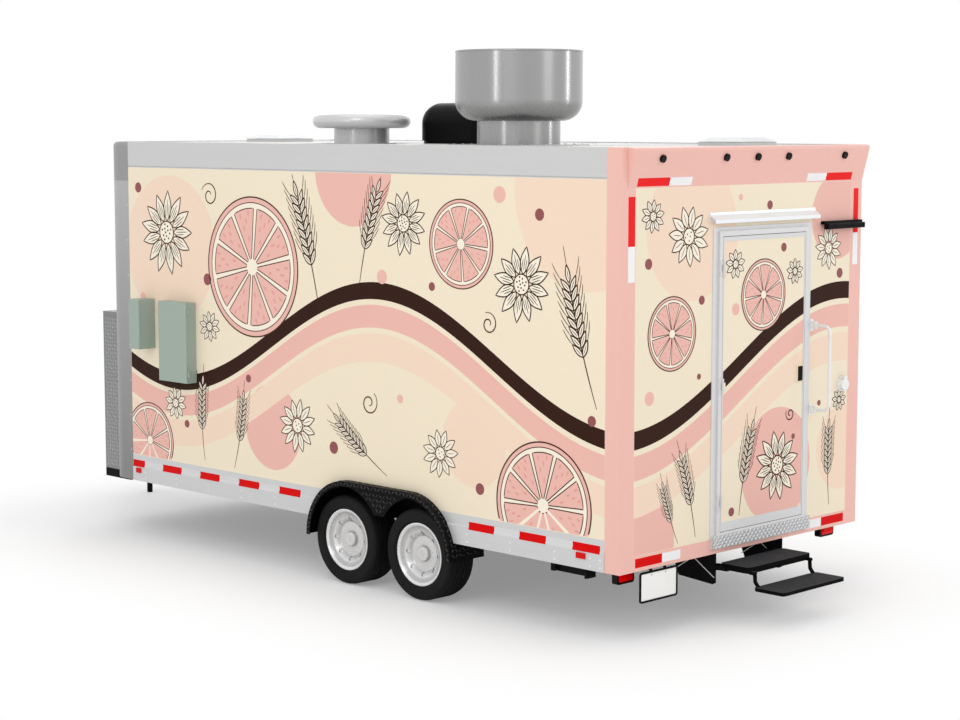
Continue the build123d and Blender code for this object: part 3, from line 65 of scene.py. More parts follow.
# Rear door and light bar
FRAME_SPAN = (0.910, 1.988)
FRAME_HEAD = 2.628
LEAF_FACE = -0.017
PANEL_SPAN = (1.009, 1.896)
PANEL_HEIGHT = (0.661, 2.535)
THRESHOLD_SPAN = (0.920, 2.000)
THRESHOLD_HEIGHT = (0.4915, 0.5785)
THRESHOLD_FACE = -0.024
LIGHT_SPAN = (2.121, 2.519)
LIGHT_HEIGHT = (2.5845, 2.6045)
LIGHT_FACE = -0.066
LIGHT_CELLS = [0.0105 + 0.0222 * k for k in range(18)]
LIGHT_CELL = (0.0078, 0.0055, 10)
LIGHT_LIFT = (-0.002, 0.003)

# Tail lamps and number plate: a lens rises in steps of (inset, height), an edge is (rounding, inset)
LAMP_FACE = 0.100
LAMP_MIDDLES = (0.180, 2.384)
LAMP_HALF = 0.084
LAMP_HEIGHT = (0.362, 0.452)
LAMP_STEPS = ((0.016, 0.005), (0.024, 0.009), (0.032, 0.011))
LAMP_ROUND = 0.016
LAMP_RIBS = [-0.048 + 0.012 * k for k in range(9)]
RIB_HALF = 0.0015
RIB_HEIGHT = (0.396, 0.418)
RIB_TOP = 0.0123
PLATE_SPAN = (0.197, 0.573)
PLATE_HEIGHT = (0.242, 0.441)
PLATE_EDGE = (0.012, 0.006)
PLATE_LIFT = (0.001, 0.004)
PLATE_BOLTS = (0.315, 0.455)
BOLT_HEIGHT = 0.415
BOLT = (0.007, 0.0075, 10)
RIM_EDGE = (0.014, 0.005)
RIM = (0.013, -0.001, 0.008)
BACK_INSET = 0.01
BACK_LIFT = (-0.003, 0.0005)
STRAP_HALF = 0.012
STRAP_HEIGHT = (0.30, 0.4555)
STRAP_LIFT = (-0.008, -0.002)
STRAP_FOLD = 0.4475
FOLD_LIFT = (-0.04, -0.002)

# Fold-out step: sides, reach and top of the treads, their grip heads, and painted highlight lines along
# creases on the side plates
STEP_SIDES = (-0.407, 0.285)
TREADS = (("upper", "first_step", (-0.256, -0.014), 0.390), ("lower", "second_step", (-0.540, -0.294), 0.265))
GRIP_PITCH = 0.023
GRIP_MARGIN = 0.03
GRIP_CORNER = 0.00008
GRIP_HEAD = (0.0042, 0.0016, 6)
CREASE_HIGHLIGHT_FACES = (0.309, -0.425)
CREASE_HIGHLIGHT = (0.006, -0.0005, 0.0009)
CREASE_HIGHLIGHTS = (((0.180, 0.394), (0.015, 0.288)), ((0.215, 0.392), (0.352, 0.300)))
CREASE_HIGHLIGHT_STEPS = 6

# Fender and wheels
FENDER_ENDS = (1.472, 2.962)
FENDER_TOP = 0.762
FENDER_RADIUS = 0.430
FENDER_FOOT = 0.325
FENDER_FLAT = (FENDER_ENDS[0] + FENDER_RADIUS, FENDER_ENDS[1] - FENDER_RADIUS)
FENDER_LENGTH = (2 * (FENDER_TOP - FENDER_RADIUS - FENDER_FOOT) + FENDER_RADIUS * math.pi
                 + FENDER_FLAT[1] - FENDER_FLAT[0])
FENDER_INNER = 1.03
FENDER_OUTER = 1.355
FENDER_LIP = 0.038
LIP_TURN = 0.78
WEB_OUTER = 1.324
WEB_ARCH = 0.398
WEB_BOTTOM = 0.550
WEB_FOOT = 0.566
WEB_INSET = 0.2
ARCH_GAP = 0.018
EDGE_GAP = 0.022
WALL_GAP = 0.02
FOOT_GAP = 0.01
LIP_GAP = 0.002
SKIRT_BOTTOM = 0.44
HUBS = (1.840, 2.594)
WHEEL_MIDDLE = 1.183
HUB_HEIGHT = 0.32375

# Drum face behind a wheel: radius and distance out from the middle of the wheel
DRUM_PROFILE = ((0.1125, 0.029), (0.1125, 0.0345), (0.132, 0.0425), (0.154, 0.0605), (0.172, 0.0705),
                (0.180, 0.072), (0.180, 0.066), (0.154, 0.054), (0.132, 0.036))
DRUM_STEPS = 48

# Greys of a wheel by radius: painted shade in the well, at the disc's step and round the hub's foot, painted
# highlight on the ridge and the flange
WHEEL_SHADE_ZONES = ((0.0, 206), (0.044, 220), (0.055, 176), (0.066, 212), (0.118, 216), (0.130, 182),
               (0.146, 204), (0.162, 226), (0.174, 190), (0.196, 182), (0.204, 228), (0.224, 238))

# Tape and rivets on the skirts; the tape's section is height and distance out from the wall
SKIRT_SECTION = ((0.569, 0.0040), (0.569, 0.0057), (0.5815, 0.0057), (0.5897, 0.0007),
                 (0.623, 0.0007), (0.623, -0.001), (0.5893, -0.001), (0.581, 0.0040))
SKIRT_TAPES = ((0.163, 0.398), (0.633, 0.872), (1.105, 1.345),
               *[(3.092 + 0.475 * k, 3.332 + 0.475 * k) for k in range(4)], (4.995, COLUMN_START - 0.002))
TAPE_GAP = 0.3
SKIRT_FACE = 0.004
RIVET_STATIONS = (0.159, 0.243, 0.553, 0.953, 1.358, *[2.979 + 0.4005 * k for k in range(6)])
RIVET_HEIGHTS = (0.482, 0.533)
COLUMN_STATION = COLUMN_START + 0.022
COLUMN_RIVETS = [0.70 + 0.28 * k for k in range(8)]
RIVET = (0.008, 0.0095)
SMALL_RIVET = (0.0045, 0.0025)

# Tape on the rear frame: spans along, heights and lift
SILL_TAPE = (0.479, 0.539)
SILL_REDS = ((0.153, 0.421), (2.169, 2.437))
SILL_WHITES = ((0.421, 0.607), (1.983, 2.169))
POST_TAPES = ((0.061, 0.126), (2.492, 2.550))
POST_RED = (2.537, 2.849)
POST_WHITE = (2.312, 2.537)
HEADER_TAPE = (2.911, 2.964)
HEADER_REDS = ((0.137, 0.451), (2.145, 2.450))
HEADER_WHITES = ((0.451, 0.674), (1.923, 2.145))
TAPE_LIFT = (-0.001, 0.0007)

# Front box
BOX_FRONT = 5.831
BOX_HALF = 1.080
BOX_BOTTOM = 0.455
BOX_SIDE_TOP = 1.722
BOX_TOP = 1.760
BOX_EDGE = 0.012
LID_START = LENGTH + 0.032
SILL_THICK = 0.001

# Raised lenses of a tread plate: pitch, length, width, height
BOX_LENSES = (0.031, 0.031, 0.0085, 0.0022)
SILL_LENSES = (0.0216, 0.0290, 0.0105, 0.0042)
FENDER_LENSES = (0.036, 0.040, 0.0125, 0.0034)

# Serving hatch
HATCH_X = (1.665, 4.335)
HATCH_Z = (1.465, 2.485)
HATCH_FACE = 1.336
HATCH_TRIM = (0.001, 0.041)
TRIM_LIFT = (-0.001, 0.002)
HATCH_PRINT = 0.050
HATCH_HINGE = 2.560
SHELF_LOW = 1.030

# Roof gear: middle and half width of square curbs, the fan's first; middle, radius, steps of the round one
CURBS = (((1.727, 0.413), 0.350), ((4.830, 0.0), 0.192), ((0.480, -0.480), 0.192))
CURB_ROUND = 0.01
ROUND_CURB = (3.370, 0.415, 0.250, 48)
ROOF_SEAMS = [1.10 + 1.22 * k for k in range(4)]
SEAM_HALF = 0.02
SEAM_REACH = 1.235
SEAM_LIFT = (-0.001, 0.002)
FAN_EDGE = 0.33
FAN_SCREWS = [-0.315 + 0.09 * k for k in range(8)]
SCREW = (0.007, 0.004)
FLANGE_TOP = 0.008
BEAD = (0.022, -0.001, 0.004)

# Printed bands round the body: middle height, swing, place and length of a wave, then (rise, width, colour)
BAND_HEIGHT = 1.52
BAND_SWING = 0.42
BAND_START = 1.1
BAND_LENGTH = 4.6
BAND_STEP = 0.05
BANDS = ((0.20, 0.12, "brown"), (0.02, 0.16, "pink"), (-0.20, 0.20, "blush"))

# Printed film: widest drawn line, radius over which a motif is large, margin inside its edges, gaps beside it
INK_WIDTH = 0.009
LARGE = 0.2
FILM_EDGE = 0.002
FILM_GAP = 0.004
HATCH_GAP = 0.01
FENDER_GAP = 0.02
BOX_GAP = 0.03

# Lamps: place, target, size and watts
LAMPS = {
    "key": ((-6.0, 9.0, 9.5), (0.0, 0.5, 1.4), (5.0, 5.0), 150.0),
    "rear": ((-12.5, -1.0, 6.0), (-3.0, 0.0, 1.5), (4.0, 4.0), 64.0),
    "top": ((0.0, 0.0, 11.0), (0.0, 0.0, 0.0), (9.0, 9.0), 110.0),
    "inside": ((-0.2, -0.25, 3.06), (-0.2, -0.25, 0.0), (4.0, 0.5), 24.0),
    "far": ((8.0, -8.0, 7.0), (0.0, 0.0, 1.5), (8.0, 8.0), 190.0),
    "left_strip": ((-2.2, 11.5, 5.0), (-1.6, 0.4, 3.0), (0.9, 5.0), 55.0),
    "rear_strip": ((-9.5, -9.5, 5.0), (-1.6, 0.4, 3.0), (0.9, 5.0), 85.0),
}
WORLD_LIGHT = 0.86
FLOOR_SPAN = (-60.0, 60.0)
FLOOR_LEVEL = -0.001

# Floor: the trailer's half length and half width, how far its shadow runs, and the least white seen in it;
# this painted white lightens the shadow near the trailer
SHADOW_CORE = (2.9, 1.1, 0.0)
SHADOW_RUN = (0.2, 1.9)
SHADOW_WHITE = 0.24

# Camera: place, direction in degrees, lens and sensor in millimetres
CAMERA_PLACE = (-11.896, 11.209, 3.320)
CAMERA_YAW = -45.3823
CAMERA_PITCH = 6.4664
CAMERA_LENS = 79.09
CAMERA_SENSOR = 36.0
CAMERA_FAR = 200.0


def linear(colour):
    """sRGB 0-255 triple to linear RGBA."""
    parts = [value / 255 for value in colour]
    return (*[c / 12.92 if c <= 0.04045 else ((c + 0.055) / 1.055) ** 2.4 for c in parts], 1.0)


def shade(colour, factor):
    """A linear colour made darker or lighter."""
    return (*[min(1.0, c * factor) for c in colour[:3]], 1.0)


class Graph:
    """Wires the nodes of a material or a world."""

    def __init__(self, owner):
        owner.use_nodes = True
        self.tree = owner.node_tree
        self.shader = self.tree.nodes.get("Principled BSDF")

    @cached_property
    def coordinates(self):
        """Outputs of the Texture Coordinate node."""
        return self.add("ShaderNodeTexCoord").outputs

    @cached_property
    def axes(self):
        """Object coordinates along X, Y and Z."""
        return self.add("ShaderNodeSeparateXYZ", {"Vector": self.coordinates["Object"]}).outputs

    def add(self, kind, inputs=None, **settings):
        """New node with its settings and its input values or links."""
        node = self.tree.nodes.new(kind)
        for key, value in settings.items():
            setattr(node, key, value)
        for key, value in (inputs or {}).items():
            self.feed(node.inputs[key], value)
        return node

    def feed(self, socket, value):
        """Link an output to a socket, or set the socket's value."""
        if isinstance(value, bpy.types.NodeSocket):
            self.tree.links.new(value, socket)
        else:
            socket.default_value = value

    def set(self, values):
        """Feed the shader's sockets by name."""
        for name, value in values.items():
            self.feed(self.shader.inputs[name], value)

    def math(self, operation, first, second=0.0):
        """Math node's output."""
        return self.add("ShaderNodeMath", {0: first, 1: second}, operation=operation).outputs[0]

    def vector(self, operation, first, second=(0.0, 0.0, 0.0)):
        """Vector Math node's outputs."""
        return self.add("ShaderNodeVectorMath", {0: first, 1: second}, operation=operation).outputs

    def noise(self, scale, detail=3.0, rough=0.55, stretch=(1, 1, 1)):
        """Noise value between 0 and 1 on object coordinates."""
        point = self.coordinates["Object"]
        if stretch != (1, 1, 1):
            point = self.add("ShaderNodeMapping", {"Vector": point, "Scale": stretch}).outputs[0]
        inputs = {"Vector": point, "Scale": scale, "Detail": detail, "Roughness": rough}
        return self.add("ShaderNodeTexNoise", inputs).outputs["Fac"]

    def between(self, value, low, high, to_low, to_high, curve="LINEAR"):
        """Map Range node's output."""
        inputs = {"Value": value, "From Min": low, "From Max": high, "To Min": to_low, "To Max": to_high}
        return self.add("ShaderNodeMapRange", inputs, interpolation_type=curve).outputs[0]

    def mix(self, factor, first, second):
        """Mix of two colours."""
        return self.add("ShaderNodeMix", {"Factor": factor, 6: first, 7: second}, data_type="RGBA").outputs[2]

    def mask(self, tests):
        """1 where every test on the coordinates holds, else 0."""
        result = None
        for axis, sign, edge in tests:
            held = self.math("GREATER_THAN" if sign > 0 else "LESS_THAN", self.axes[axis], edge)
            result = held if result is None else self.math("MULTIPLY", result, held)
        return result

    def bump(self, height, strength, distance):
        """Bump into the shader's normal."""
        inputs = {"Height": height, "Strength": strength, "Distance": distance}
        self.set({"Normal": self.add("ShaderNodeBump", inputs).outputs[0]})


MAT = {}


def material(key, nodes=""):
    """Graph of a new material, which the nodes named take as their finish."""
    MAT[key] = bpy.data.materials.new(key.title().replace("_", ""))
    for name in nodes.split():
        mesh = NODES[name].data
        mesh.materials.clear()
        mesh.materials.append(MAT[key])
    return Graph(MAT[key])


def finish(key, colour, rough, nodes="", metal=0.0, tone=0.05, tone_scale=2.5, spread=0.06,
           grain=(600.0, 0.05, 0.0004), stretch=(1, 1, 1), coat=0.0, gloss=0.5, spun=0.0,
           other=None, where=(), painted_shade_below=None, upper=None):
    """Procedural finish: tone that drifts, uneven gloss and a fine grain.

    The other colour shows where every test holds, and the upper one, painted light on tops, on faces that
    look up at rest. A painted shade below (low, high, depth) mixes near black into the colour from a height
    downwards, darker towards the bottom. Spun metal has turning marks round Z, which draw its highlights out
    along the axis.
    """
    kit = material(key, nodes)
    drift = kit.noise(tone_scale, 4.0, 0.6, stretch)

    def toned(rgb):
        """Colour that drifts about its mean."""
        base = linear(rgb)
        return kit.mix(drift, shade(base, 1 - tone), shade(base, 1 + tone))

    paint = toned(colour)
    if other:
        paint = kit.mix(kit.mask(where), paint, toned(other))
    # Painted light: faces that look up take the lighter upper colour
    if upper:
        rise = kit.add("ShaderNodeSeparateXYZ", {"Vector": kit.coordinates["Normal"]}).outputs[2]
        paint = kit.mix(kit.math("GREATER_THAN", rise, 0.8), paint, toned(upper))
    # Painted shade: near black mixed in from a height downwards
    if painted_shade_below:
        paint = kit.mix(kit.between(kit.axes[2], *painted_shade_below, 0.0), paint, DUST_AND_SHADE)
    patches = kit.noise(14.0, 3.0, 0.55, stretch)
    kit.set({"Base Color": paint, "Metallic": metal, "Coat Weight": coat, "Coat Roughness": 0.12,
             "Specular IOR Level": gloss,
             "Roughness": kit.between(patches, 0.3, 0.7, rough - spread, rough + spread)})
    if spun:
        marks = kit.add("ShaderNodeTangent", direction_type="RADIAL", axis="Z")
        kit.set({"Anisotropic": spun, "Anisotropic Rotation": 0.25, "Tangent": marks.outputs[0]})
    scale, strength, distance = grain
    kit.bump(kit.noise(scale, 2.0, 0.5, stretch), strength, distance)


def tape(key, colour):
    """Reflective tape: a field of small sealed cells with paler walls."""
    kit = material(key)
    base = linear(colour)
    inputs = {"Vector": kit.coordinates["Object"], "Scale": 170.0}
    cells = kit.add("ShaderNodeTexVoronoi", inputs, feature="DISTANCE_TO_EDGE").outputs["Distance"]
    wall = kit.between(cells, 0.02, 0.1, 0.15, 0.0)
    drift = kit.mix(kit.noise(3.0), shade(base, 0.94), shade(base, 1.06))
    kit.set({"Base Color": kit.mix(wall, drift, shade(base, 1.4)), "Specular IOR Level": 0.06,
             "Roughness": kit.between(kit.noise(20.0), 0.3, 0.7, 0.3, 0.42)})
    kit.bump(cells, 0.2, 0.0004)


def wheel_finish(key, nodes):
    """Silver enamel: painted highlight makes it bright on the flange and the disc, painted shade makes it
    greyer in the well.
    """
    kit = material(key, nodes)
    rear, front = [kit.math("ABSOLUTE", kit.math("SUBTRACT", kit.axes[0], x - ORIGIN.x)) for x in HUBS]
    across = kit.math("MINIMUM", rear, front)
    up = kit.math("SUBTRACT", kit.axes[2], HUB_HEIGHT)
    square = kit.math("ADD", kit.math("MULTIPLY", across, across), kit.math("MULTIPLY", up, up))
    reach = kit.math("SQRT", square)
    rim = WHEEL_SHADE_ZONES[-1][0]
    # Painted shade and painted highlight: grey set by the distance from the hub
    shade_ramp = kit.add("ShaderNodeValToRGB", {"Fac": kit.math("DIVIDE", reach, rim)})
    stops = shade_ramp.color_ramp.elements
    while len(stops) < len(WHEEL_SHADE_ZONES):
        stops.new(1.0)
    for stop, (radius, grey) in zip(stops, WHEEL_SHADE_ZONES):
        stop.position = radius / rim
        stop.color = linear((grey, grey, grey))
    dust = kit.between(kit.noise(9.0), 0.3, 0.7, 0.0, 0.05)
    kit.set({"Base Color": kit.mix(dust, shade_ramp.outputs["Color"], DUST_AND_SHADE), "Metallic": 0.45, "Coat Weight": 0.25,
             "Coat Roughness": 0.12, "Roughness": kit.between(kit.noise(14.0), 0.3, 0.7, 0.24, 0.32)})
    kit.bump(kit.noise(200.0, 2.0, 0.5), 0.03, 0.0003)


CREAM = (240, 227, 202)
FRP = (232, 233, 231)
PRINTS = {"blush": (242, 216, 193), "pink": (235, 183, 171), "rose": (224, 158, 148), "milk": (246, 237, 218),
          "maroon": (145, 76, 78)}
INKS = {"brown": (52, 28, 20), "ink": (70, 44, 34)}
# Near black: random dust on the wheels, and painted shade low on the front column
DUST_AND_SHADE = (0.02, 0.02, 0.02, 1.0)

# Tests on frame coordinates: (axis, sign, edge) holds above the edge for sign 1 and below it for sign -1
INSIDE = ((0, 1, -3.301), (0, -1, 2.177), (1, 1, -1.340), (1, -1, 1.242))
HATCH_INSIDE = ((1, 1, -1.383),)
CAP_LEVEL = ((2, 1, 2.85),)
OVER_DOOR = ((2, 1, 2.64),)
DOOR_PANEL = ((0, -1, -ORIGIN.x), (1, 1, HALF - PANEL_SPAN[1] - ORIGIN.y),
              (1, -1, HALF - PANEL_SPAN[0] - ORIGIN.y), (2, 1, PANEL_HEIGHT[0]), (2, -1, PANEL_HEIGHT[1]))
MARKER_LEVEL = ((2, 1, 0.47), (2, -1, 2.0))

VINYL = {"tone": 0.02, "tone_scale": 1.2, "grain": (900, 0.04, 0.0003), "gloss": 0.3}
BLACK = {"tone": 0.2, "tone_scale": 6, "grain": (500, 0.12, 0.0006), "gloss": 0.07}
BRUSHED = {"tone": 0.03, "stretch": (0.4, 8, 8)}
FINE = {"spread": 0.03, "grain": (30, 0.01, 0.0002)}

finish("wrap", CREAM, 0.42, "left_wall right_wall front_wall rear_wall", other=FRP, where=INSIDE, **VINYL)
finish("hatch_panel", CREAM, 0.42, "serving_hatch", other=FRP, where=HATCH_INSIDE, **VINYL)
finish("door_leaf", (217, 217, 218), 0.42, "rear_door", other=CREAM, where=DOOR_PANEL, **VINYL)
for colour, rgb in PRINTS.items():
    finish(f"print_{colour}", rgb, 0.42, **VINYL)
for colour, rgb in INKS.items():
    finish(f"print_{colour}", rgb, 0.45, **VINYL | {"gloss": 0.06})
finish("pink_paint", (238, 187, 176), 0.4, "rear_frame", tone=0.015, tone_scale=1.5,
       grain=(250, 0.04, 0.0005), gloss=0.35)
finish("grey_rail", (204, 204, 204), 0.45, "top_rails", metal=0.2, **BRUSHED)
finish("skirt_aluminium", (206, 207, 208), 0.42, "side_skirts", metal=0.2, **BRUSHED)
finish("rivet_heads", (240, 240, 240), 0.3, metal=0.1, tone_scale=30)
# Painted shade: the column darkens towards the bottom, half way to near black at 0.5 m, unchanged above 2.8 m
finish("column_aluminium", (178, 177, 177), 0.36, "front_corner_posts", metal=0.45, tone=0.04,
       stretch=(6, 6, 0.4), other=(152, 152, 152), where=CAP_LEVEL, painted_shade_below=(0.5, 2.8, 0.5))
finish("frame_black", (13, 13, 14), 0.5, "chassis_frame axles jack_tube jack_leg left_stabiliser "
       "right_stabiliser step_brackets step_rear_arms step_front_arms", **BLACK)
finish("tread_black", (9, 9, 10), 0.4, "fenders", **BLACK)
# Painted highlight: the fender's raised lenses are a lighter, glossier copy of its black
finish("tread_black_highlit_lenses", (26, 26, 27), 0.26, tone=0.15, tone_scale=40)
# Painted light: the treads' upward faces are painted a lighter grey than their black sides
finish("step_black", (14, 14, 15), 0.6, "upper_step lower_step", upper=(64, 65, 68),
       **BLACK | {"tone": 0.15, "gloss": 0.03})
finish("step_grip", (28, 28, 29), 0.5, tone=0.2, tone_scale=30, gloss=0.1)
# Painted highlight: pale lines standing for light caught along the creases of the step's side plates
finish("painted_crease_highlight", (232, 232, 232), 0.5, tone_scale=20)
finish("black_plastic", (9, 9, 10), 0.38, "door_latch light_bar air_conditioner", **BLACK)
finish("floor_plate", (150, 150, 152), 0.35, "floor_deck", metal=0.8, tone=0.08, tone_scale=6)
finish("zinc", (178, 178, 176), 0.38, "hitch_coupler coupler_latch jack_crank", metal=0.85, tone=0.08,
       tone_scale=20, grain=(120, 0.08, 0.0004))
finish("roof_white", (208, 208, 206), 0.5, "roof_panel", tone=0.03, tone_scale=2)
finish("door_frame", (217, 217, 218), 0.38, "door_frame", metal=0.2, tone=0.03, tone_scale=5,
       stretch=(4, 4, 0.6), other=(236, 240, 243), where=OVER_DOOR)
finish("white_plastic", (238, 239, 239), 0.32, "grab_brackets grab_rail power_inlet inlet_lid", tone=0.015,
       tone_scale=8, coat=0.2)
finish("vent_white", (222, 224, 225), 0.36, "front_vent_lid rear_vent_lid", tone=0.02, tone_scale=8)
finish("sage_paint", (157, 172, 162), 0.45, "breaker_box breaker_door disconnect_box disconnect_door",
       tone=0.02, tone_scale=6, grain=(700, 0.12, 0.0005), gloss=0.3)
finish("tread_aluminium", (138, 139, 140), 0.36, "front_box front_box_lid", metal=0.6, tone=0.06,
       tone_scale=5)
# Painted highlight: the box's raised lenses are a lighter copy of its tread aluminium
finish("tread_aluminium_highlit_lenses", (184, 185, 186), 0.26, metal=0.7, tone_scale=30)
finish("sill_plate", (178, 179, 181), 0.34, metal=0.5, tone_scale=5)
# Painted highlight: the sill's raised lenses are a lighter copy of its plate
finish("sill_highlit_lenses", (232, 233, 234), 0.25, metal=0.4, tone=0.04, tone_scale=30)
finish("spun_metal", (164, 164, 164), 0.28, "fan_base fan_bowl fan_motor fan_wheel", metal=0.95, tone=0.07,
       tone_scale=3.0, stretch=(2.4, 2.4, 0.1), spun=0.7, **FINE)
finish("polished_cap", (204, 204, 205), 0.3, "vent_cap", metal=0.35, tone=0.03, tone_scale=4, coat=0.3,
       **FINE)
finish("stainless", (182, 183, 184), 0.3, "serving_shelf exhaust_hood work_counter", metal=0.9,
       stretch=(0.5, 12, 12))
finish("tyre_rubber", (25, 25, 26), 0.6, "front_left_tyre front_right_tyre rear_left_tyre rear_right_tyre",
       tone=0.15, tone_scale=12, grain=(260, 0.2, 0.0008), gloss=0.1)
wheel_finish("wheel_enamel_painted_shade", "front_left_wheel front_right_wheel rear_left_wheel rear_right_wheel")
finish("drum_face", (226, 226, 227), 0.4, metal=0.2, tone_scale=30)
finish("red_lens", (238, 5, 5), 0.25, tone=0.06, tone_scale=30, gloss=0.15)
finish("lamp_cases", (11, 10, 10), 0.35, "lamps", tone=0.15, tone_scale=30, gloss=0.12, other=(210, 5, 5),
       where=MARKER_LEVEL)
finish("bare_plate", (242, 242, 240), 0.35, tone=0.02, tone_scale=9)
tape("red_tape", (214, 3, 4))
# Painted light: a lighter copy of the red tape, for the posts and the header
tape("bright_red_tape", (238, 34, 36))
tape("white_tape", (240, 240, 241))
tape("silver_tape", (213, 214, 215))


# Surfaces: each turns (along, up, out) into a station point
def facing_side(sign, reach):
    """Surface that faces left (1) or right (-1); along is the station."""
    return lambda u, v, w: (u, sign * (reach + w), v)


def facing_rear(station):
    """Surface that faces the rear; along is the distance from the left corner."""
    return lambda u, v, w: (station - w, HALF - u, v)


def facing_front(station):
    """Surface that faces forward; along is the distance to the left of the centreline."""
    return lambda u, v, w: (station + w, u, v)


def facing_up(height):
    """Surface that faces up; along is the station and up is the distance to the left."""
    return lambda u, v, w: (u, v, height + w)


def header_face(u, v, w):
    """Leaning face of the rear header."""
    return (-HEADER_LEAN * (v - HEADER_BOTTOM) - w, HALF - u, v)


def shrunk(span, margin):
    """A (low, high) pair drawn in at both ends."""
    return (span[0] + margin, span[1] - margin)


def corners(u, v):
    """Corners of a rectangle (low, high) by (low, high)."""
    return [(u[0], v[0]), (u[1], v[0]), (u[1], v[1]), (u[0], v[1])]


def polar(u, v, reach, turn):
    """Point at a distance and an angle from another."""
    return (u + reach * math.cos(turn), v + reach * math.sin(turn))


class Shape:
    """Points and faces of one piece, given on a surface."""

    def __init__(self, place=None):
        self.place = place
        self.points = []
        self.faces = []

    def add(self, points, faces):
        """Append points of the surface and faces that number them from 0."""
        start = len(self.points)
        self.points += [Vector(self.place(*point)) - ORIGIN for point in points]
        self.faces += [[start + index for index in face] for face in faces]

    def tube(self, sections, closed=False):
        """Solid through sections of as many points, joined round or shut at both ends."""
        count, size = len(sections), len(sections[0])
        faces = [] if closed else [range(size), range((count - 1) * size, count * size)]
        for index in range(count if closed else count - 1):
            a, b = index * size, (index + 1) % count * size
            faces += [[a + k, a + (k + 1) % size, b + (k + 1) % size, b + k] for k in range(size)]
        self.add([point for section in sections for point in section], faces)

    def plate(self, outline, low, high):
        """Closed plate on an outline in (along, up), between two heights."""
        if len(outline) > 2:
            self.tube([[(u, v, w) for u, v in outline] for w in (low, high)])

    def bar(self, u, v, w):
        """Box between (low, high) pairs along the surface's axes."""
        self.plate(corners(u, v), *w)

    def ribbon(self, line, widths, low, high, closed=False):
        """Closed flat bar along a line in (along, up), with a width at each point."""
        padded = [line[-1], *line, line[0]] if closed else [line[0], *line, line[-1]]
        sections = []
        for before, (u, v), after, width in zip(padded, line, padded[2:], widths):
            du, dv = after[0] - before[0], after[1] - before[1]
            length = math.hypot(du, dv) or 1.0
            nu, nv = -dv / length * width / 2, du / length * width / 2
            sections.append([(u + side * nu, v + side * nv, w)
                             for side, w in ((1, low), (-1, low), (-1, high), (1, high))])
        self.tube(sections, closed)

    def ring(self, outline, width, low, high):
        """Closed flat bar of one width round an outline."""
        self.ribbon(outline, [width] * len(outline), low, high, closed=True)

    def lug(self, u, v, angle, length, width, height, sunk=SUNK):
        """Raised lens of a tread plate."""
        c, s = math.cos(angle), math.sin(angle)
        base = [(-0.5, 0), (-0.24, -0.5), (0.24, -0.5), (0.5, 0), (0.24, 0.5), (-0.24, 0.5)]
        points = [(a * length, b * width, -sunk) for a, b in base]
        points += [(-0.22 * length, 0, height), (0.22 * length, 0, height)]
        points = [(u + a * c - b * s, v + a * s + b * c, w) for a, b, w in points]
        faces = [(0, 1, 6), (1, 2, 7, 6), (2, 3, 7), (3, 4, 7), (4, 5, 6, 7), (5, 0, 6), (5, 4, 3, 2, 1, 0)]
        self.add(points, faces)

    def lugs(self, u_span, v_span, size, keep=None):
        """Field of raised lenses, turned by turns to either side."""
        pitch, *lens = size

        def stations(low, high):
            """Places of the lenses along a span."""
            count = int((high - low) / pitch)
            return [(low + high - (count - 1) * pitch) / 2 + k * pitch for k in range(count)]

        for i, u in enumerate(stations(*u_span)):
            for j, v in enumerate(stations(*v_span)):
                if keep is None or keep(u, v):
                    self.lug(u, v, math.radians(45 if (i + j) % 2 else 135), *lens)

    def dome(self, u, v, radius, height, steps=8, sunk=SUNK):
        """Low round head."""
        rings = [(1.0, -sunk), (1.0, 0.25 * height), (0.72, 0.8 * height)]
        points = [(*polar(u, v, radius * scale, math.tau * k / steps), w)
                  for scale, w in rings for k in range(steps)]
        faces = [range(steps)]
        for a in range(steps):
            b = (a + 1) % steps
            faces += [[a + low, b + low, b + low + steps, a + low + steps] for low in (0, steps)]
            faces.append([a + 2 * steps, b + 2 * steps, len(points)])
        self.add([*points, (u, v, height)], faces)

    def make(self, name, finish_key, slot, body="trailer", smooth=False):
        """Turn the shape into a piece that rides a body."""
        mesh = bpy.data.meshes.new(name)
        mesh.from_pydata([point[:] for point in self.points], [], self.faces)
        tidy = bmesh.new()
        tidy.from_mesh(mesh)
        bmesh.ops.recalc_face_normals(tidy, faces=tidy.faces)
        tidy.to_mesh(mesh)
        tidy.free()
        if smooth:
            mesh.shade_smooth()
            mesh.set_sharp_from_angle(angle=SHARP_ANGLE)
        mesh.materials.append(MAT[finish_key])
        piece = bpy.data.objects.new(name, mesh)
        bpy.context.collection.objects.link(piece)
        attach(piece, body)


def clip_area(outline, box):
    """Part of an outline inside a box (low u, high u, low v, high v)."""
    for axis, sign, edge in ((0, 1, box[0]), (0, -1, box[1]), (1, 1, box[2]), (1, -1, box[3])):
        kept = []
        for index, point in enumerate(outline):
            last = outline[index - 1]
            inside, was = sign * (point[axis] - edge) >= 0, sign * (last[axis] - edge) >= 0
            if inside != was:
                t = (edge - last[axis]) / (point[axis] - last[axis])
                kept.append((last[0] + t * (point[0] - last[0]), last[1] + t * (point[1] - last[1])))
            if inside:
                kept.append(point)
        outline = kept
    return outline


def within(point, box):
    """Whether a point lies inside a box."""
    return box[0] <= point[0] <= box[1] and box[2] <= point[1] <= box[3]


def clip_line(line, box):
    """Runs of a line that lie inside a box."""
    runs = [list(run) for inside, run in groupby(line, lambda point: within(point, box)) if inside]
    return [run for run in runs if len(run) > 1]


def circle(u, v, radius, steps=72):
    """Points round a circle."""
    return [polar(u, v, radius, math.tau * k / steps) for k in range(steps)]


def rounded(u, v, radius, inset=0.0, steps=5):
    """Outline of a rectangle with rounded corners, drawn in by an inset."""
    points = []
    u, v = [shrunk(shrunk(span, inset), radius) for span in (u, v)]
    for index, corner in enumerate(corners(u, v)):
        turns = [math.radians(180 + 90 * index + 90 * k / steps) for k in range(steps + 1)]
        points += [polar(*corner, radius, turn) for turn in turns]
    return points


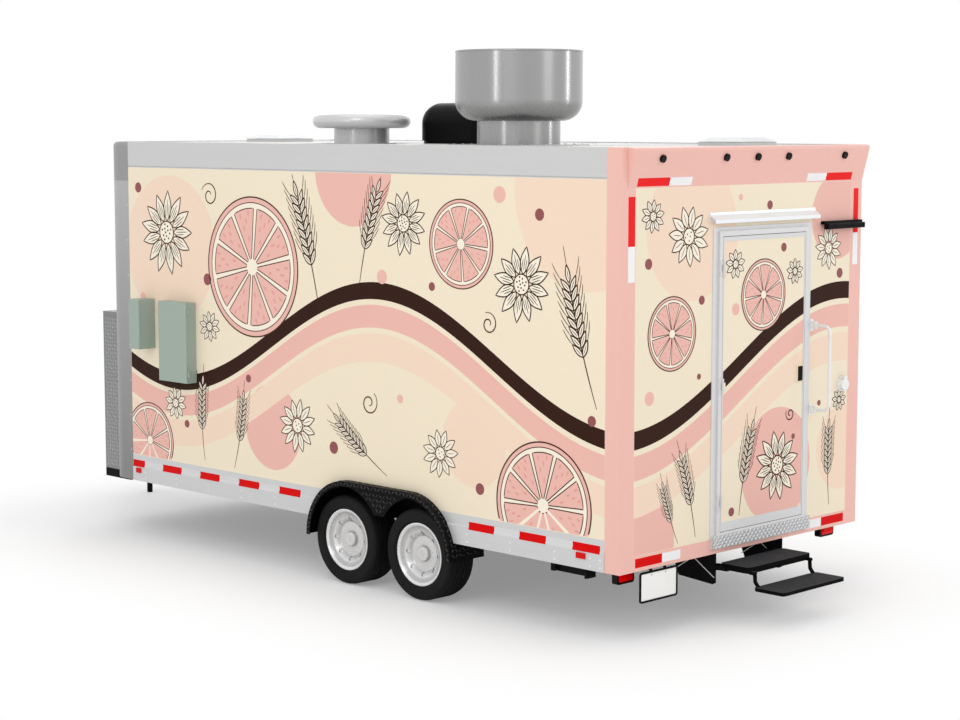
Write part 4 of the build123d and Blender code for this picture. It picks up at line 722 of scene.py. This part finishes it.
class Print:
    """Printed film on one surface: flat shapes collected by colour."""

    LIFT = 0.0003
    SUNK = -0.0006

    def __init__(self, place, box):
        self.place, self.box = place, box
        self.colours = {}

    def shape(self, colour):
        """Shape that collects one colour."""
        return self.colours.setdefault(colour, Shape(self.place))

    def area(self, outline, colour, level):
        """Filled outline."""
        self.shape(colour).plate(clip_area(outline, self.box), self.SUNK, self.LIFT * (level + 1))

    def disc(self, u, v, radius, colour, level):
        """Filled circle."""
        self.area(circle(u, v, radius, 96 if radius > LARGE else 40), colour, level)

    def line(self, points, level, width=INK_WIDTH, closed=False):
        """Drawn line; open ends run out thin."""
        shape = self.shape("ink")
        top = self.LIFT * (level + 1)
        if closed and all(within(point, self.box) for point in points):
            shape.ring(points, width, self.SUNK, top)
            return
        for run in clip_line(points + points[:1] if closed else points, self.box):
            last = len(run) - 1
            ends = [min(1.0, 4 * min(k, last - k) / last) for k in range(last + 1)]
            widths = [width * (1.0 if closed else 0.45 + 0.55 * end) for end in ends]
            shape.ribbon(run, widths, self.SUNK, top)

    def make(self, name, body):
        """Turn each colour into one piece."""
        for colour, shape in self.colours.items():
            if shape.faces:
                shape.make(f"{name}_{colour}", f"print_{colour}", "wrap", body)


def turned(points, u, v, angle):
    """Points turned and moved."""
    c, s = math.cos(angle), math.sin(angle)
    return [(u + a * c - b * s, v + a * s + b * c) for a, b in points]


def leaf(length, width, steps=14, lean=0.0):
    """Outline of a leaf or a grain from the origin along the first axis."""
    steps = [k / steps for k in range(steps + 1)]
    upper, lower = [[(length * t, side * width / 2 * math.sin(math.pi * t ** 0.85) + lean * length * t * t)
                     for t in steps] for side in (1, -1)]
    return upper + lower[-2:0:-1]


def daisy(film, u, v, radius, petals=13, start=0.2, level=4):
    """Line-drawn daisy."""
    large = radius > LARGE
    width = min(INK_WIDTH, max(0.0055, 0.034 * radius))
    girth = 0.58 * math.tau * radius / petals
    for k in range(petals):
        angle = start + math.tau * k / petals
        wobble = 1.0 + 0.05 * math.sin(5.1 * k + start)
        foot = polar(u, v, 0.28 * radius, angle)
        petal = leaf(0.72 * radius * wobble, girth, lean=0.04 * math.sin(3.3 * k))
        shape = turned(petal, *foot, angle)
        film.area(shape, "milk", level - 1)
        film.line(shape, level, width, closed=True)
        for offset, reach in ((-0.22, 0.3), (0.0, 0.42), (0.22, 0.3)) if large else ((0.0, 0.4),):
            stroke = [(0.1 * radius + reach * radius * t / 5, offset * girth) for t in range(6)]
            film.line(turned(stroke, *foot, angle), level, 0.65 * width)
    film.disc(u, v, 0.27 * radius, "milk", level)
    film.line(circle(u, v, 0.27 * radius, 32), level + 1, width, closed=True)
    for k in range(12 if large else 5):
        turn, reach = 2.4 * k, 0.06 * radius * math.sqrt(k + 0.4) * (1 if large else 1.5)
        film.disc(*polar(u, v, reach, turn), 0.022 * radius + 0.001, "ink", level + 1)


def wheat(film, u, v, angle, length, bend=0.25, grains=9, level=4):
    """Line-drawn ear of wheat on a bent stem."""
    def at(t):
        """Point and direction of the stem."""
        return (length * t, bend * length * t * t), math.atan2(2 * bend * t, 1.0)

    width = min(INK_WIDTH, 0.01 * length)
    stem = [at(k / 24)[0] for k in range(25)]
    film.line(turned(stem, u, v, angle), level - 1, width)
    grain, girth, spread = 0.14 * length, 0.043 * length, 0.6
    for k in range(grains):
        (x, y), lean = at(0.4 + 0.56 * k / (grains - 1))
        for side in (0.0,) if k == grains - 1 else (spread, -spread):
            def drawn(points):
                """Points of a grain to places on the film."""
                return turned(turned(points, x, y, lean + side), u, v, angle)

            shape = drawn(leaf(grain, girth))
            film.area(shape, "milk", level)
            film.line(shape, level + 1, width, closed=True)
            film.line(drawn([(grain * (0.2 + 0.1 * t), 0) for t in range(6)]), level + 1, 0.6 * width)
            awn = [(grain * (1.0 + 0.2 * t), -0.06 * side * grain * t * t / 5) for t in range(6)]
            film.line(drawn(awn), level, 0.55 * width)


def citrus(film, u, v, radius, parts=10, start=0.1, level=2):
    """Slice of citrus fruit."""
    width = min(INK_WIDTH, max(0.006, 0.022 * radius))
    film.disc(u, v, radius, "pink", level)
    film.disc(u, v, 0.92 * radius, "milk", level + 1)
    film.line(circle(u, v, radius, 96), level + 3, 1.1 * width, closed=True)
    film.line(circle(u, v, 0.92 * radius, 96), level + 3, 0.7 * width, closed=True)
    half = math.pi / parts - 0.045
    edge = 0.84 * radius
    for k in range(parts):
        middle = start + math.tau * k / parts
        arc = [polar(0.0, 0.0, edge, half * s / 5) for s in range(-5, 6)]
        shape = turned([(0.12 * radius, -0.008), *arc, (0.12 * radius, 0.008)], u, v, middle)
        film.area(shape, "pink", level + 2)
        film.line(shape, level + 3, 0.8 * width, closed=True)
        for spot, side in ((0.36, 0.3), (0.52, -0.35), (0.62, 0.1), (0.72, 0.45), (0.70, -0.5)):
            place = (spot * radius, side * half * spot * radius)
            drop = turned(leaf(0.1 * radius, 0.035 * radius, 6), *place, 0.0)
            film.area(turned(drop, u, v, middle), "rose", level + 3)


def curl(film, u, v, size, angle, turns=1.4, level=4):
    """Drawn curl."""
    steps = [k / 39 for k in range(40)]
    points = [polar(0.0, 0.0, size * (1 - 0.82 * t), math.tau * turns * t) for t in steps]
    film.line(turned(points, u, v, angle), level)


def discs(film, level, colour, *places):
    """Plain discs of one colour."""
    for u, v, radius in places:
        film.disc(u, v, radius, colour, level)


def bands(film, way, start):
    """Waving bands; way and start turn a place on the film into the distance round the body."""
    low, high = film.box[:2]
    count = int((high - low) / BAND_STEP) + 2
    middle = []
    for u in [low + (high - low) * k / count for k in range(count + 1)]:
        along = way * u + start - BAND_START
        middle.append((u, BAND_HEIGHT + BAND_SWING * math.sin(along * math.tau / BAND_LENGTH)))
    for rise, width, colour in BANDS:
        upper, lower = [[(u, v + rise + side * width / 2) for u, v in middle] for side in (1, -1)]
        film.area(upper + lower[::-1], colour, 1)


# Art of each wall: motifs with their places; discs have a level and a colour first
LEFT_ART = (
    (discs, (0, "blush", (0.30, 2.86, 0.62), (4.62, 2.34, 0.56), (1.30, 1.16, 0.30)),
     (0, "pink", (2.50, 2.98, 0.40), (3.40, 1.06, 0.32))),
    (bands, (1, 0.0)),
    (citrus, (3.62, 2.24, 0.52), (0.66, 0.82, 0.42, 10, 0.3), (1.42, 2.50, 0.30, 9),
     (4.92, 0.80, 0.30, 9, 0.25)),
    (wheat, (2.86, 1.94, 1.35, 0.90, -0.06), (2.44, 2.14, 1.75, 0.74, 0.1), (4.22, 0.72, 1.4, 0.6, 0.15),
     (0.20, 1.50, 1.2, 0.86, 0.08), (3.86, 0.70, 1.9, 0.56, -0.12), (2.16, 0.84, 0.5, 0.62, 0.1)),
    (daisy, (4.66, 2.46, 0.32, 13), (0.86, 2.26, 0.25, 12), (1.98, 2.62, 0.22, 12), (3.12, 1.10, 0.20, 12),
     (1.62, 1.06, 0.17, 11), (4.58, 1.13, 0.13, 10), (4.14, 1.76, 0.12, 10)),
    (curl, (4.12, 2.76, 0.10, 0.4), (2.34, 1.34, 0.09, 2.2), (1.16, 1.98, 0.08, 1.2)),
    (discs, (2, "maroon", (4.16, 2.12, 0.045), (3.68, 1.40, 0.03), (2.72, 0.98, 0.045), (1.24, 0.86, 0.04),
             (0.24, 1.42, 0.035), (0.70, 2.72, 0.04), (1.70, 2.20, 0.03), (5.02, 2.80, 0.04),
             (4.44, 0.98, 0.03)),
     (2, "pink", (4.98, 1.94, 0.035), (2.02, 1.40, 0.03), (1.06, 2.84, 0.055), (2.20, 2.24, 0.05))),
)
REAR_ART = (
    (discs, (0, "blush", (0.70, 2.62, 0.46), (2.40, 1.02, 0.30)),
     (0, "pink", (1.62, 0.98, 0.40), (2.30, 2.66, 0.30), (0.20, 0.62, 0.34))),
    (bands, (-1, 0.0)),
    (discs, (2, "maroon", (0.26, 2.42, 0.035), (0.80, 2.16, 0.03), (0.78, 1.66, 0.02), (1.66, 2.47, 0.03),
             (1.12, 0.72, 0.03), (1.80, 1.16, 0.02), (2.34, 2.26, 0.035), (2.12, 1.36, 0.02),
             (1.52, 2.76, 0.03)),
     (2, "pink", (0.28, 1.56, 0.045), (1.14, 2.08, 0.04), (1.20, 2.82, 0.022))),
    (citrus, (0.50, 1.96, 0.24, 9), (1.44, 2.16, 0.24, 9)),
    (wheat, (0.76, 0.60, 1.75, 0.56, 0.1), (0.58, 0.58, 2.05, 0.42, -0.1), (1.20, 0.66, 1.45, 0.62, -0.1),
     (2.26, 0.62, 1.7, 0.56, -0.1)),
    (daisy, (0.66, 2.58, 0.20, 11), (0.30, 2.72, 0.11, 10), (1.62, 0.98, 0.24, 12), (1.13, 2.38, 0.10, 9),
     (1.79, 2.30, 0.09, 9), (2.20, 2.44, 0.15, 11), (2.36, 1.36, 0.08, 9)),
    (curl, (1.76, 1.32, 0.05, 2.6)),
)
RIGHT_ART = (
    (discs, (0, "blush", (0.62, 2.62, 0.52), (3.70, 2.46, 0.52), (4.98, 2.70, 0.36)),
     (0, "pink", (2.10, 2.44, 0.40), (4.86, 1.12, 0.44))),
    (bands, (-1, -WIDTH)),
    (citrus, (0.96, 2.24, 0.36), (0.40, 0.92, 0.36, 10, 0.3), (4.80, 2.46, 0.28, 9), (3.10, 2.06, 0.30)),
    (wheat, (1.28, 0.80, 1.5, 0.52, 0.1), (4.62, 0.72, 1.75, 0.72, 0.1), (4.86, 0.72, 1.4, 0.86, -0.1),
     (2.52, 1.56, 1.4, 0.76, -0.1), (4.20, 1.96, 1.9, 0.46, 0.1)),
    (daisy, (1.44, 2.72, 0.18, 12), (0.34, 2.52, 0.20, 12), (4.52, 2.80, 0.12, 10), (2.08, 2.16, 0.19, 12),
     (3.72, 2.24, 0.13, 10), (2.60, 2.74, 0.14, 11), (2.16, 0.905, 0.10, 10), (3.52, 0.895, 0.10, 10),
     (4.08, 0.915, 0.08, 9)),
    (discs, (2, "maroon", (1.50, 2.26, 0.04), (0.26, 1.40, 0.03), (2.44, 2.34, 0.035), (3.52, 1.96, 0.035),
             (1.90, 1.74, 0.03), (4.48, 2.36, 0.035), (4.00, 2.78, 0.03)),
     (2, "pink", (1.10, 2.80, 0.05), (3.10, 2.80, 0.04))),
)
FRONT_ART = (
    (discs, (0, "blush", (-0.72, 2.60, 0.40))),
    (bands, (-1, LENGTH + HALF)),
    (citrus, (0.62, 2.40, 0.34)),
    (wheat, (-0.36, 2.14, 1.5, 0.72, -0.06)),
    (daisy, (-0.74, 2.58, 0.22, 12), (0.12, 2.70, 0.14, 11)),
    (discs, (2, "maroon", (-0.02, 2.34, 0.035), (0.96, 2.80, 0.035), (-0.98, 2.10, 0.03)),
     (2, "pink", (0.20, 2.30, 0.03))),
)


def films():
    """Printed films: each keeps what lies inside its edges of the art on its wall."""
    left, rear, right = facing_side(1, HALF), facing_rear(0.0), facing_side(-1, HALF)
    along = shrunk((POST_SIDE, COLUMN_START), FILM_EDGE)
    up = shrunk((SKIRT_TOP + FILM_GAP, WALL_TOP), FILM_EDGE)
    near = shrunk((POST_REAR, FRAME_SPAN[0]), FILM_EDGE)
    far = shrunk((FRAME_SPAN[1], WIDTH - POST_REAR), FILM_EDGE)
    rear_up = shrunk((SILL_TOP, HEADER_BOTTOM), FILM_EDGE)
    over_door = (near[1], far[0], FRAME_HEAD + FILM_GAP, rear_up[1])
    beside = shrunk(HATCH_X, -HATCH_GAP)
    across = shrunk((-BOX_HALF, BOX_HALF), FILM_EDGE)
    hatch = (*shrunk(HATCH_X, HATCH_PRINT), *shrunk(HATCH_Z, HATCH_PRINT))
    for name, body, surface, box, art in (
            ("left_print", "trailer", left, (*along, *up), LEFT_ART),
            ("rear_left_print", "trailer", rear, (*near, *rear_up), REAR_ART),
            ("rear_right_print", "trailer", rear, (*far, *rear_up), REAR_ART),
            ("rear_top_print", "trailer", rear, over_door, REAR_ART),
            ("door_print", "door", facing_rear(LEAF_FACE), (*PANEL_SPAN, *PANEL_HEIGHT), REAR_ART),
            ("right_aft_print", "trailer", right, (along[0], beside[0], *up), RIGHT_ART),
            ("right_fore_print", "trailer", right, (beside[1], along[1], *up), RIGHT_ART),
            ("right_top_print", "trailer", right, (*beside, HATCH_HINGE, up[1]), RIGHT_ART),
            ("right_low_print", "trailer", right, (*beside, FENDER_TOP + FENDER_GAP, SHELF_LOW), RIGHT_ART),
            ("hatch_print", "hatch", facing_side(-1, HATCH_FACE), hatch, RIGHT_ART),
            ("front_print", "trailer", facing_front(LENGTH), (*across, BOX_TOP + BOX_GAP, up[1]), FRONT_ART)):
        film = Print(surface, box)
        for motif, *places in art:
            for place in places:
                motif(film, *place)
        film.make(name, body)


def skirt_trim():
    """Rivets and tape along both skirts, rivets on the corner columns."""
    for side, sign in SIDES:
        heads, red, silver = [Shape(facing_side(sign, HALF)) for _ in range(3)]
        for station in RIVET_STATIONS:
            for height in RIVET_HEIGHTS:
                heads.dome(station, height, *RIVET, sunk=-SKIRT_FACE)
        for height in COLUMN_RIVETS:
            heads.dome(COLUMN_STATION, height, *SMALL_RIVET)
        gaps = [(low, high) for (_, low), (high, _) in zip(SKIRT_TAPES, SKIRT_TAPES[1:])]
        short = [gap for gap in gaps if gap[1] - gap[0] < TAPE_GAP]
        for shape, spans in ((red, SKIRT_TAPES), (silver, short)):
            for span in spans:
                shape.tube([[(station, *place) for place in SKIRT_SECTION] for station in span])
        heads.make(f"{side}_rivets", "rivet_heads", "aluminium", smooth=True)
        red.make(f"{side}_tape", "red_tape", "red_lens")
        silver.make(f"{side}_silver_tape", "silver_tape", "white_plastic")


def rear_tape():
    """Red and white tape on the rear frame's sill, posts and header."""
    wall = facing_rear(0.0)
    for name, key, surface, *runs in (
            ("rear_tape_red", "red_tape", wall, (SILL_REDS, SILL_TAPE)),
            ("post_tape_red", "bright_red_tape", wall, (POST_TAPES, POST_RED)),
            ("rear_tape_white", "white_tape", wall, (SILL_WHITES, SILL_TAPE), (POST_TAPES, POST_WHITE)),
            ("header_tape_red", "bright_red_tape", header_face, (HEADER_REDS, HEADER_TAPE)),
            ("header_tape_white", "white_tape", header_face, (HEADER_WHITES, HEADER_TAPE))):
        shape = Shape(surface)
        for spans, heights in runs:
            for span in spans:
                shape.bar(span, heights, TAPE_LIFT)
        shape.make(name, key, "white_plastic" if key == "white_tape" else "red_lens")


def tread_plate():
    """Raised lenses on the front box, its lid, the door sill and the fenders."""
    across, up = shrunk((-BOX_HALF, BOX_HALF), BOX_EDGE), (BOX_BOTTOM + BOX_EDGE, BOX_SIDE_TOP)
    along = shrunk((LENGTH, BOX_FRONT), BOX_EDGE)
    for name, body, place, u_span, v_span in (
            ("front", "trailer", facing_front(BOX_FRONT), across, up),
            ("left", "trailer", facing_side(1, BOX_HALF), along, up),
            ("right", "trailer", facing_side(-1, BOX_HALF), along, up),
            ("lid", "storage_lid", facing_up(BOX_TOP), (LID_START, along[1]), across)):
        sheet = Shape(place)
        sheet.lugs(u_span, v_span, BOX_LENSES)
        sheet.make(f"box_{name}_lenses", "tread_aluminium_highlit_lenses", "tread_aluminium", body)
    sill = Shape(facing_rear(THRESHOLD_FACE))
    sill.bar(THRESHOLD_SPAN, THRESHOLD_HEIGHT, (-2 * SILL_THICK, SILL_THICK))
    sill.make("door_sill_plate", "sill_plate", "tread_aluminium")
    raised = Shape(facing_rear(THRESHOLD_FACE - SILL_THICK))
    raised.lugs(THRESHOLD_SPAN, THRESHOLD_HEIGHT, SILL_LENSES)
    raised.make("door_sill_highlit_lenses", "sill_highlit_lenses", "tread_aluminium")
    for side, sign in SIDES:
        fender_plate(side, sign)


def fender_line(distance):
    """Point and outward direction on the fender's outline, from the rear foot forward."""
    low, high = FENDER_FLAT
    ahead = distance - FENDER_LENGTH / 2
    past = max(0.0, abs(ahead) - (high - low) / 2)
    turn = min(past / FENDER_RADIUS, math.pi / 2)
    out = (math.copysign(math.sin(turn), ahead), math.cos(turn))
    x = min(max((low + high) / 2 + ahead, low), high) + FENDER_RADIUS * out[0]
    z = FENDER_TOP - FENDER_RADIUS * (1 - out[1]) - (past - FENDER_RADIUS * turn)
    return (x, z), out


def fender_plate(side, sign):
    """Raised lenses on one fender: its band, its lip and the web between the wheels."""
    def band(u, v, w):
        """Outside of the arched sheet."""
        (x, z), out = fender_line(u)
        return (x + out[0] * w, sign * v, z + out[1] * w)

    def in_view(u, v):
        """Above the skirts' lower edge only the part outside the wall shows."""
        return v > HALF + WALL_GAP or fender_line(u)[0][1] < SKIRT_BOTTOM

    def on_web(u, v):
        """Clear of the wheel arches and of the plate's edges."""
        gap = min(math.hypot(u - x, v - HUB_HEIGHT) for x in HUBS) - WEB_ARCH
        core = min(max(u, FENDER_FLAT[0]), FENDER_FLAT[1])
        edge = FENDER_RADIUS - math.hypot(u - core, v - FENDER_TOP + FENDER_RADIUS)
        return gap > ARCH_GAP and edge > EDGE_GAP and v > WEB_FOOT

    plate = Shape(band)
    along, across = shrunk((0.0, FENDER_LENGTH), FOOT_GAP), (FENDER_INNER, FENDER_OUTER - LIP_GAP)
    plate.lugs(along, across, FENDER_LENSES, in_view)
    plate.place = facing_side(sign, WEB_OUTER)
    plate.lugs(shrunk(FENDER_ENDS, WEB_INSET), (WEB_BOTTOM, FENDER_TOP), FENDER_LENSES, on_web)
    plate.place = facing_side(sign, FENDER_OUTER)
    pitch, *lens = FENDER_LENSES
    count = int(FENDER_LENGTH / pitch)
    for k in range(count):
        (x, z), out = fender_line((k + 0.5) * FENDER_LENGTH / count)
        middle = (x - out[0] * FENDER_LIP / 2, z - out[1] * FENDER_LIP / 2)
        plate.lug(*middle, math.atan2(out[0], -out[1]) + (LIP_TURN if k % 2 else -LIP_TURN), *lens)
    plate.make(f"{side}_fender_lenses", "tread_black_highlit_lenses", "tread_black")


def step_grip():
    """Grip heads on the treads, painted highlight lines along creases on the step's side plates."""
    for name, body, reach, top in TREADS:
        heads = Shape(facing_up(top))
        (u_middle, u_half), (v_middle, v_half) = [((low + high) / 2, (high - low) / 2)
                                                  for low, high in (reach, STEP_SIDES)]
        rows, columns = [int((2 * half - GRIP_MARGIN) / GRIP_PITCH) for half in (u_half, v_half)]
        for i in range(rows + 1):
            for j in range(columns + 1):
                u = u_middle + (i - rows / 2) * GRIP_PITCH
                v = v_middle + (j - columns / 2) * GRIP_PITCH + (GRIP_PITCH / 4 if i % 2 else -GRIP_PITCH / 4)
                corner = (max(0.0, abs(u - u_middle) - u_half + GRIP_MARGIN)
                          * max(0.0, abs(v - v_middle) - v_half + GRIP_MARGIN))
                if corner < GRIP_CORNER:
                    heads.dome(u, v, *GRIP_HEAD)
        heads.make(f"{name}_step_grip", "step_grip", "tread_black", body)
    crease_highlights = Shape()
    for y in CREASE_HIGHLIGHT_FACES:
        crease_highlights.place = facing_side(1, y)
        for (x0, z0), (x1, z1) in CREASE_HIGHLIGHTS:
            points = [(x0 + (x1 - x0) * k / CREASE_HIGHLIGHT_STEPS, z0 + (z1 - z0) * k / CREASE_HIGHLIGHT_STEPS)
                      for k in range(CREASE_HIGHLIGHT_STEPS + 1)]
            crease_highlights.ribbon(points, [CREASE_HIGHLIGHT[0]] * len(points), *CREASE_HIGHLIGHT[1:])
    crease_highlights.make("step_plate_crease_highlights", "painted_crease_highlight", "zinc")


def drum_faces():
    """Pale drum close behind the holes of each wheel."""
    turns = [math.tau * k / DRUM_STEPS for k in range(DRUM_STEPS)]
    for end, hub in zip(("rear", "front"), HUBS):
        for side, sign in SIDES:
            def about_hub(radius, depth, turn):
                """Station point by radius, distance out from the wheel's middle and angle."""
                x, z = polar(hub, HUB_HEIGHT, radius, turn)
                return (x, sign * (WHEEL_MIDDLE + depth), z)

            ring = Shape(about_hub)
            ring.tube([[(*point, turn) for point in DRUM_PROFILE] for turn in turns], closed=True)
            ring.make(f"{end}_{side}_drum", "drum_face", "wheel_paint", f"{end}_{side}_roller", smooth=True)


def rear_gear():
    """Tail-lamp lenses, bare number plate with its frame and carrier, light-bar lens."""
    lenses = Shape(facing_rear(LAMP_FACE))
    for middle in LAMP_MIDDLES:
        span = (middle - LAMP_HALF, middle + LAMP_HALF)
        for inset, height in LAMP_STEPS:
            lenses.plate(rounded(span, LAMP_HEIGHT, LAMP_ROUND - inset / 4, inset), -SUNK, height)
        for offset in LAMP_RIBS:
            u = middle + offset
            lenses.bar((u - RIB_HALF, u + RIB_HALF), RIB_HEIGHT, (0.0, RIB_TOP))
    lenses.make("tail_lamp_lenses", "red_lens", "red_lens")
    plate, rim, screws = [Shape(facing_rear(0.0)) for _ in range(3)]
    plate.plate(rounded(PLATE_SPAN, PLATE_HEIGHT, *PLATE_EDGE), *PLATE_LIFT)
    plate.make("number_plate", "bare_plate", "white_plastic")
    rim.ring(rounded(PLATE_SPAN, PLATE_HEIGHT, *RIM_EDGE), *RIM)
    rim.bar(shrunk(PLATE_SPAN, BACK_INSET), shrunk(PLATE_HEIGHT, BACK_INSET), BACK_LIFT)
    for u in PLATE_BOLTS:
        strap = (u - STRAP_HALF, u + STRAP_HALF)
        rim.bar(strap, STRAP_HEIGHT, STRAP_LIFT)
        rim.bar(strap, (STRAP_FOLD, STRAP_HEIGHT[1]), FOLD_LIFT)
        screws.dome(u, BOLT_HEIGHT, *BOLT)
    rim.make("number_plate_frame", "black_plastic", "black_plastic")
    screws.make("number_plate_screws", "zinc", "zinc", smooth=True)
    lens = Shape(facing_rear(LIGHT_FACE))
    lens.bar(LIGHT_SPAN, LIGHT_HEIGHT, LIGHT_LIFT)
    for offset in LIGHT_CELLS:
        lens.dome(LIGHT_SPAN[0] + offset, sum(LIGHT_HEIGHT) / 2, *LIGHT_CELL)
    lens.make("light_bar_lens", "black_plastic", "black_plastic", smooth=True)


def roof_trim():
    """Sealant beads and screw heads round the roof gear, edge trim on the hatch."""
    top = Shape(facing_up(ROOF_TOP))
    for (x, y), half in CURBS:
        top.ring(rounded((x - half, x + half), (y - half, y + half), CURB_ROUND), *BEAD)
    top.ring(circle(*ROUND_CURB), *BEAD)
    for x in ROOF_SEAMS:
        top.bar((x - SEAM_HALF, x + SEAM_HALF), (-SEAM_REACH, SEAM_REACH), SEAM_LIFT)
    top.make("roof_seams", "roof_white", "roof_white")
    heads = Shape(facing_up(ROOF_TOP + FLANGE_TOP))
    x, y = CURBS[0][0]
    for offset in FAN_SCREWS:
        for side in (-FAN_EDGE, FAN_EDGE):
            heads.dome(x + offset, y + side, *SCREW)
            heads.dome(x + side, y + offset, *SCREW)
    heads.make("fan_base_screws", "zinc", "zinc", smooth=True)
    trim = Shape(facing_side(-1, HATCH_FACE))
    outer, inner = [corners(shrunk(HATCH_X, inset), shrunk(HATCH_Z, inset)) for inset in HATCH_TRIM]
    for k in range(4):
        after = (k + 1) % 4
        trim.plate([outer[k], outer[after], inner[after], inner[k]], *TRIM_LIFT)
    trim.make("hatch_trim", "skirt_aluminium", "aluminium", "hatch")


for build in (films, skirt_trim, rear_tape, tread_plate, step_grip, drum_faces, rear_gear, roof_trim):
    build()


def floor_finish():
    """Pale matt floor that turns plain white for the camera away from the trailer; nearer, painted white
    lightens its shadow for the camera.
    """
    kit = material("floor")
    pale = kit.mix(kit.noise(0.8), linear((246, 246, 246)), linear((250, 250, 250)))
    kit.set({"Base Color": pale, "Roughness": 0.95, "Specular IOR Level": 0.1})
    past = kit.vector("SUBTRACT", kit.vector("ABSOLUTE", kit.coordinates["Object"])[0], SHADOW_CORE)
    length = kit.vector("LENGTH", kit.vector("MAXIMUM", past[0])[0])["Value"]
    away = kit.between(length, *SHADOW_RUN, SHADOW_WHITE, 1.0, "SMOOTHSTEP")
    seen = kit.math("MULTIPLY", away, kit.add("ShaderNodeLightPath").outputs["Is Camera Ray"])
    white = kit.add("ShaderNodeEmission", {"Color": (1, 1, 1, 1), "Strength": 1.0})
    mixed = kit.add("ShaderNodeMixShader", {0: seen, 1: kit.shader.outputs[0], 2: white.outputs[0]})
    kit.feed(kit.tree.nodes["Material Output"].inputs["Surface"], mixed.outputs[0])


def stage():
    """Pale floor, soft lamps, white surroundings and the camera."""
    scene, link = bpy.context.scene, bpy.context.collection.objects.link
    mesh = bpy.data.meshes.new("floor")
    mesh.from_pydata([(*corner, 0) for corner in corners(FLOOR_SPAN, FLOOR_SPAN)], [], [(0, 1, 2, 3)])
    floor_finish()
    mesh.materials.append(MAT["floor"])
    floor = bpy.data.objects.new("floor", mesh)
    floor.location.z = FLOOR_LEVEL
    link(floor)

    scene.world = bpy.data.worlds.new("World")
    kit = Graph(scene.world)
    rays = kit.add("ShaderNodeLightPath").outputs
    seen = kit.math("MAXIMUM", rays["Is Camera Ray"], rays["Is Glossy Ray"])
    clear = kit.math("MAXIMUM", seen, rays["Is Transmission Ray"])
    background = kit.tree.nodes["Background"].inputs
    kit.feed(background["Color"], (1, 1, 1, 1))
    kit.feed(background["Strength"], kit.between(clear, 0.0, 1.0, WORLD_LIGHT, 1.0))

    for name, (place, target, size, watts) in LAMPS.items():
        data = bpy.data.lights.new(name, "AREA")
        data.shape = "ELLIPSE"
        data.size, data.size_y = size
        data.energy = watts
        lamp = bpy.data.objects.new(name, data)
        lamp.location = place
        lamp.rotation_euler = (Vector(target) - Vector(place)).to_track_quat("-Z", "Y").to_euler()
        link(lamp)

    data = bpy.data.cameras.new("camera")
    data.sensor_width, data.lens, data.clip_end = CAMERA_SENSOR, CAMERA_LENS, CAMERA_FAR
    camera = bpy.data.objects.new("camera", data)
    yaw, pitch = math.radians(CAMERA_YAW), math.radians(CAMERA_PITCH)
    level = math.cos(pitch)
    heading = Vector((math.cos(yaw) * level, math.sin(yaw) * level, -math.sin(pitch)))
    camera.location = CAMERA_PLACE
    camera.rotation_euler = heading.to_track_quat("-Z", "Y").to_euler()
    link(camera)
    scene.camera = camera
    scene.view_settings.view_transform = "Standard"


stage()
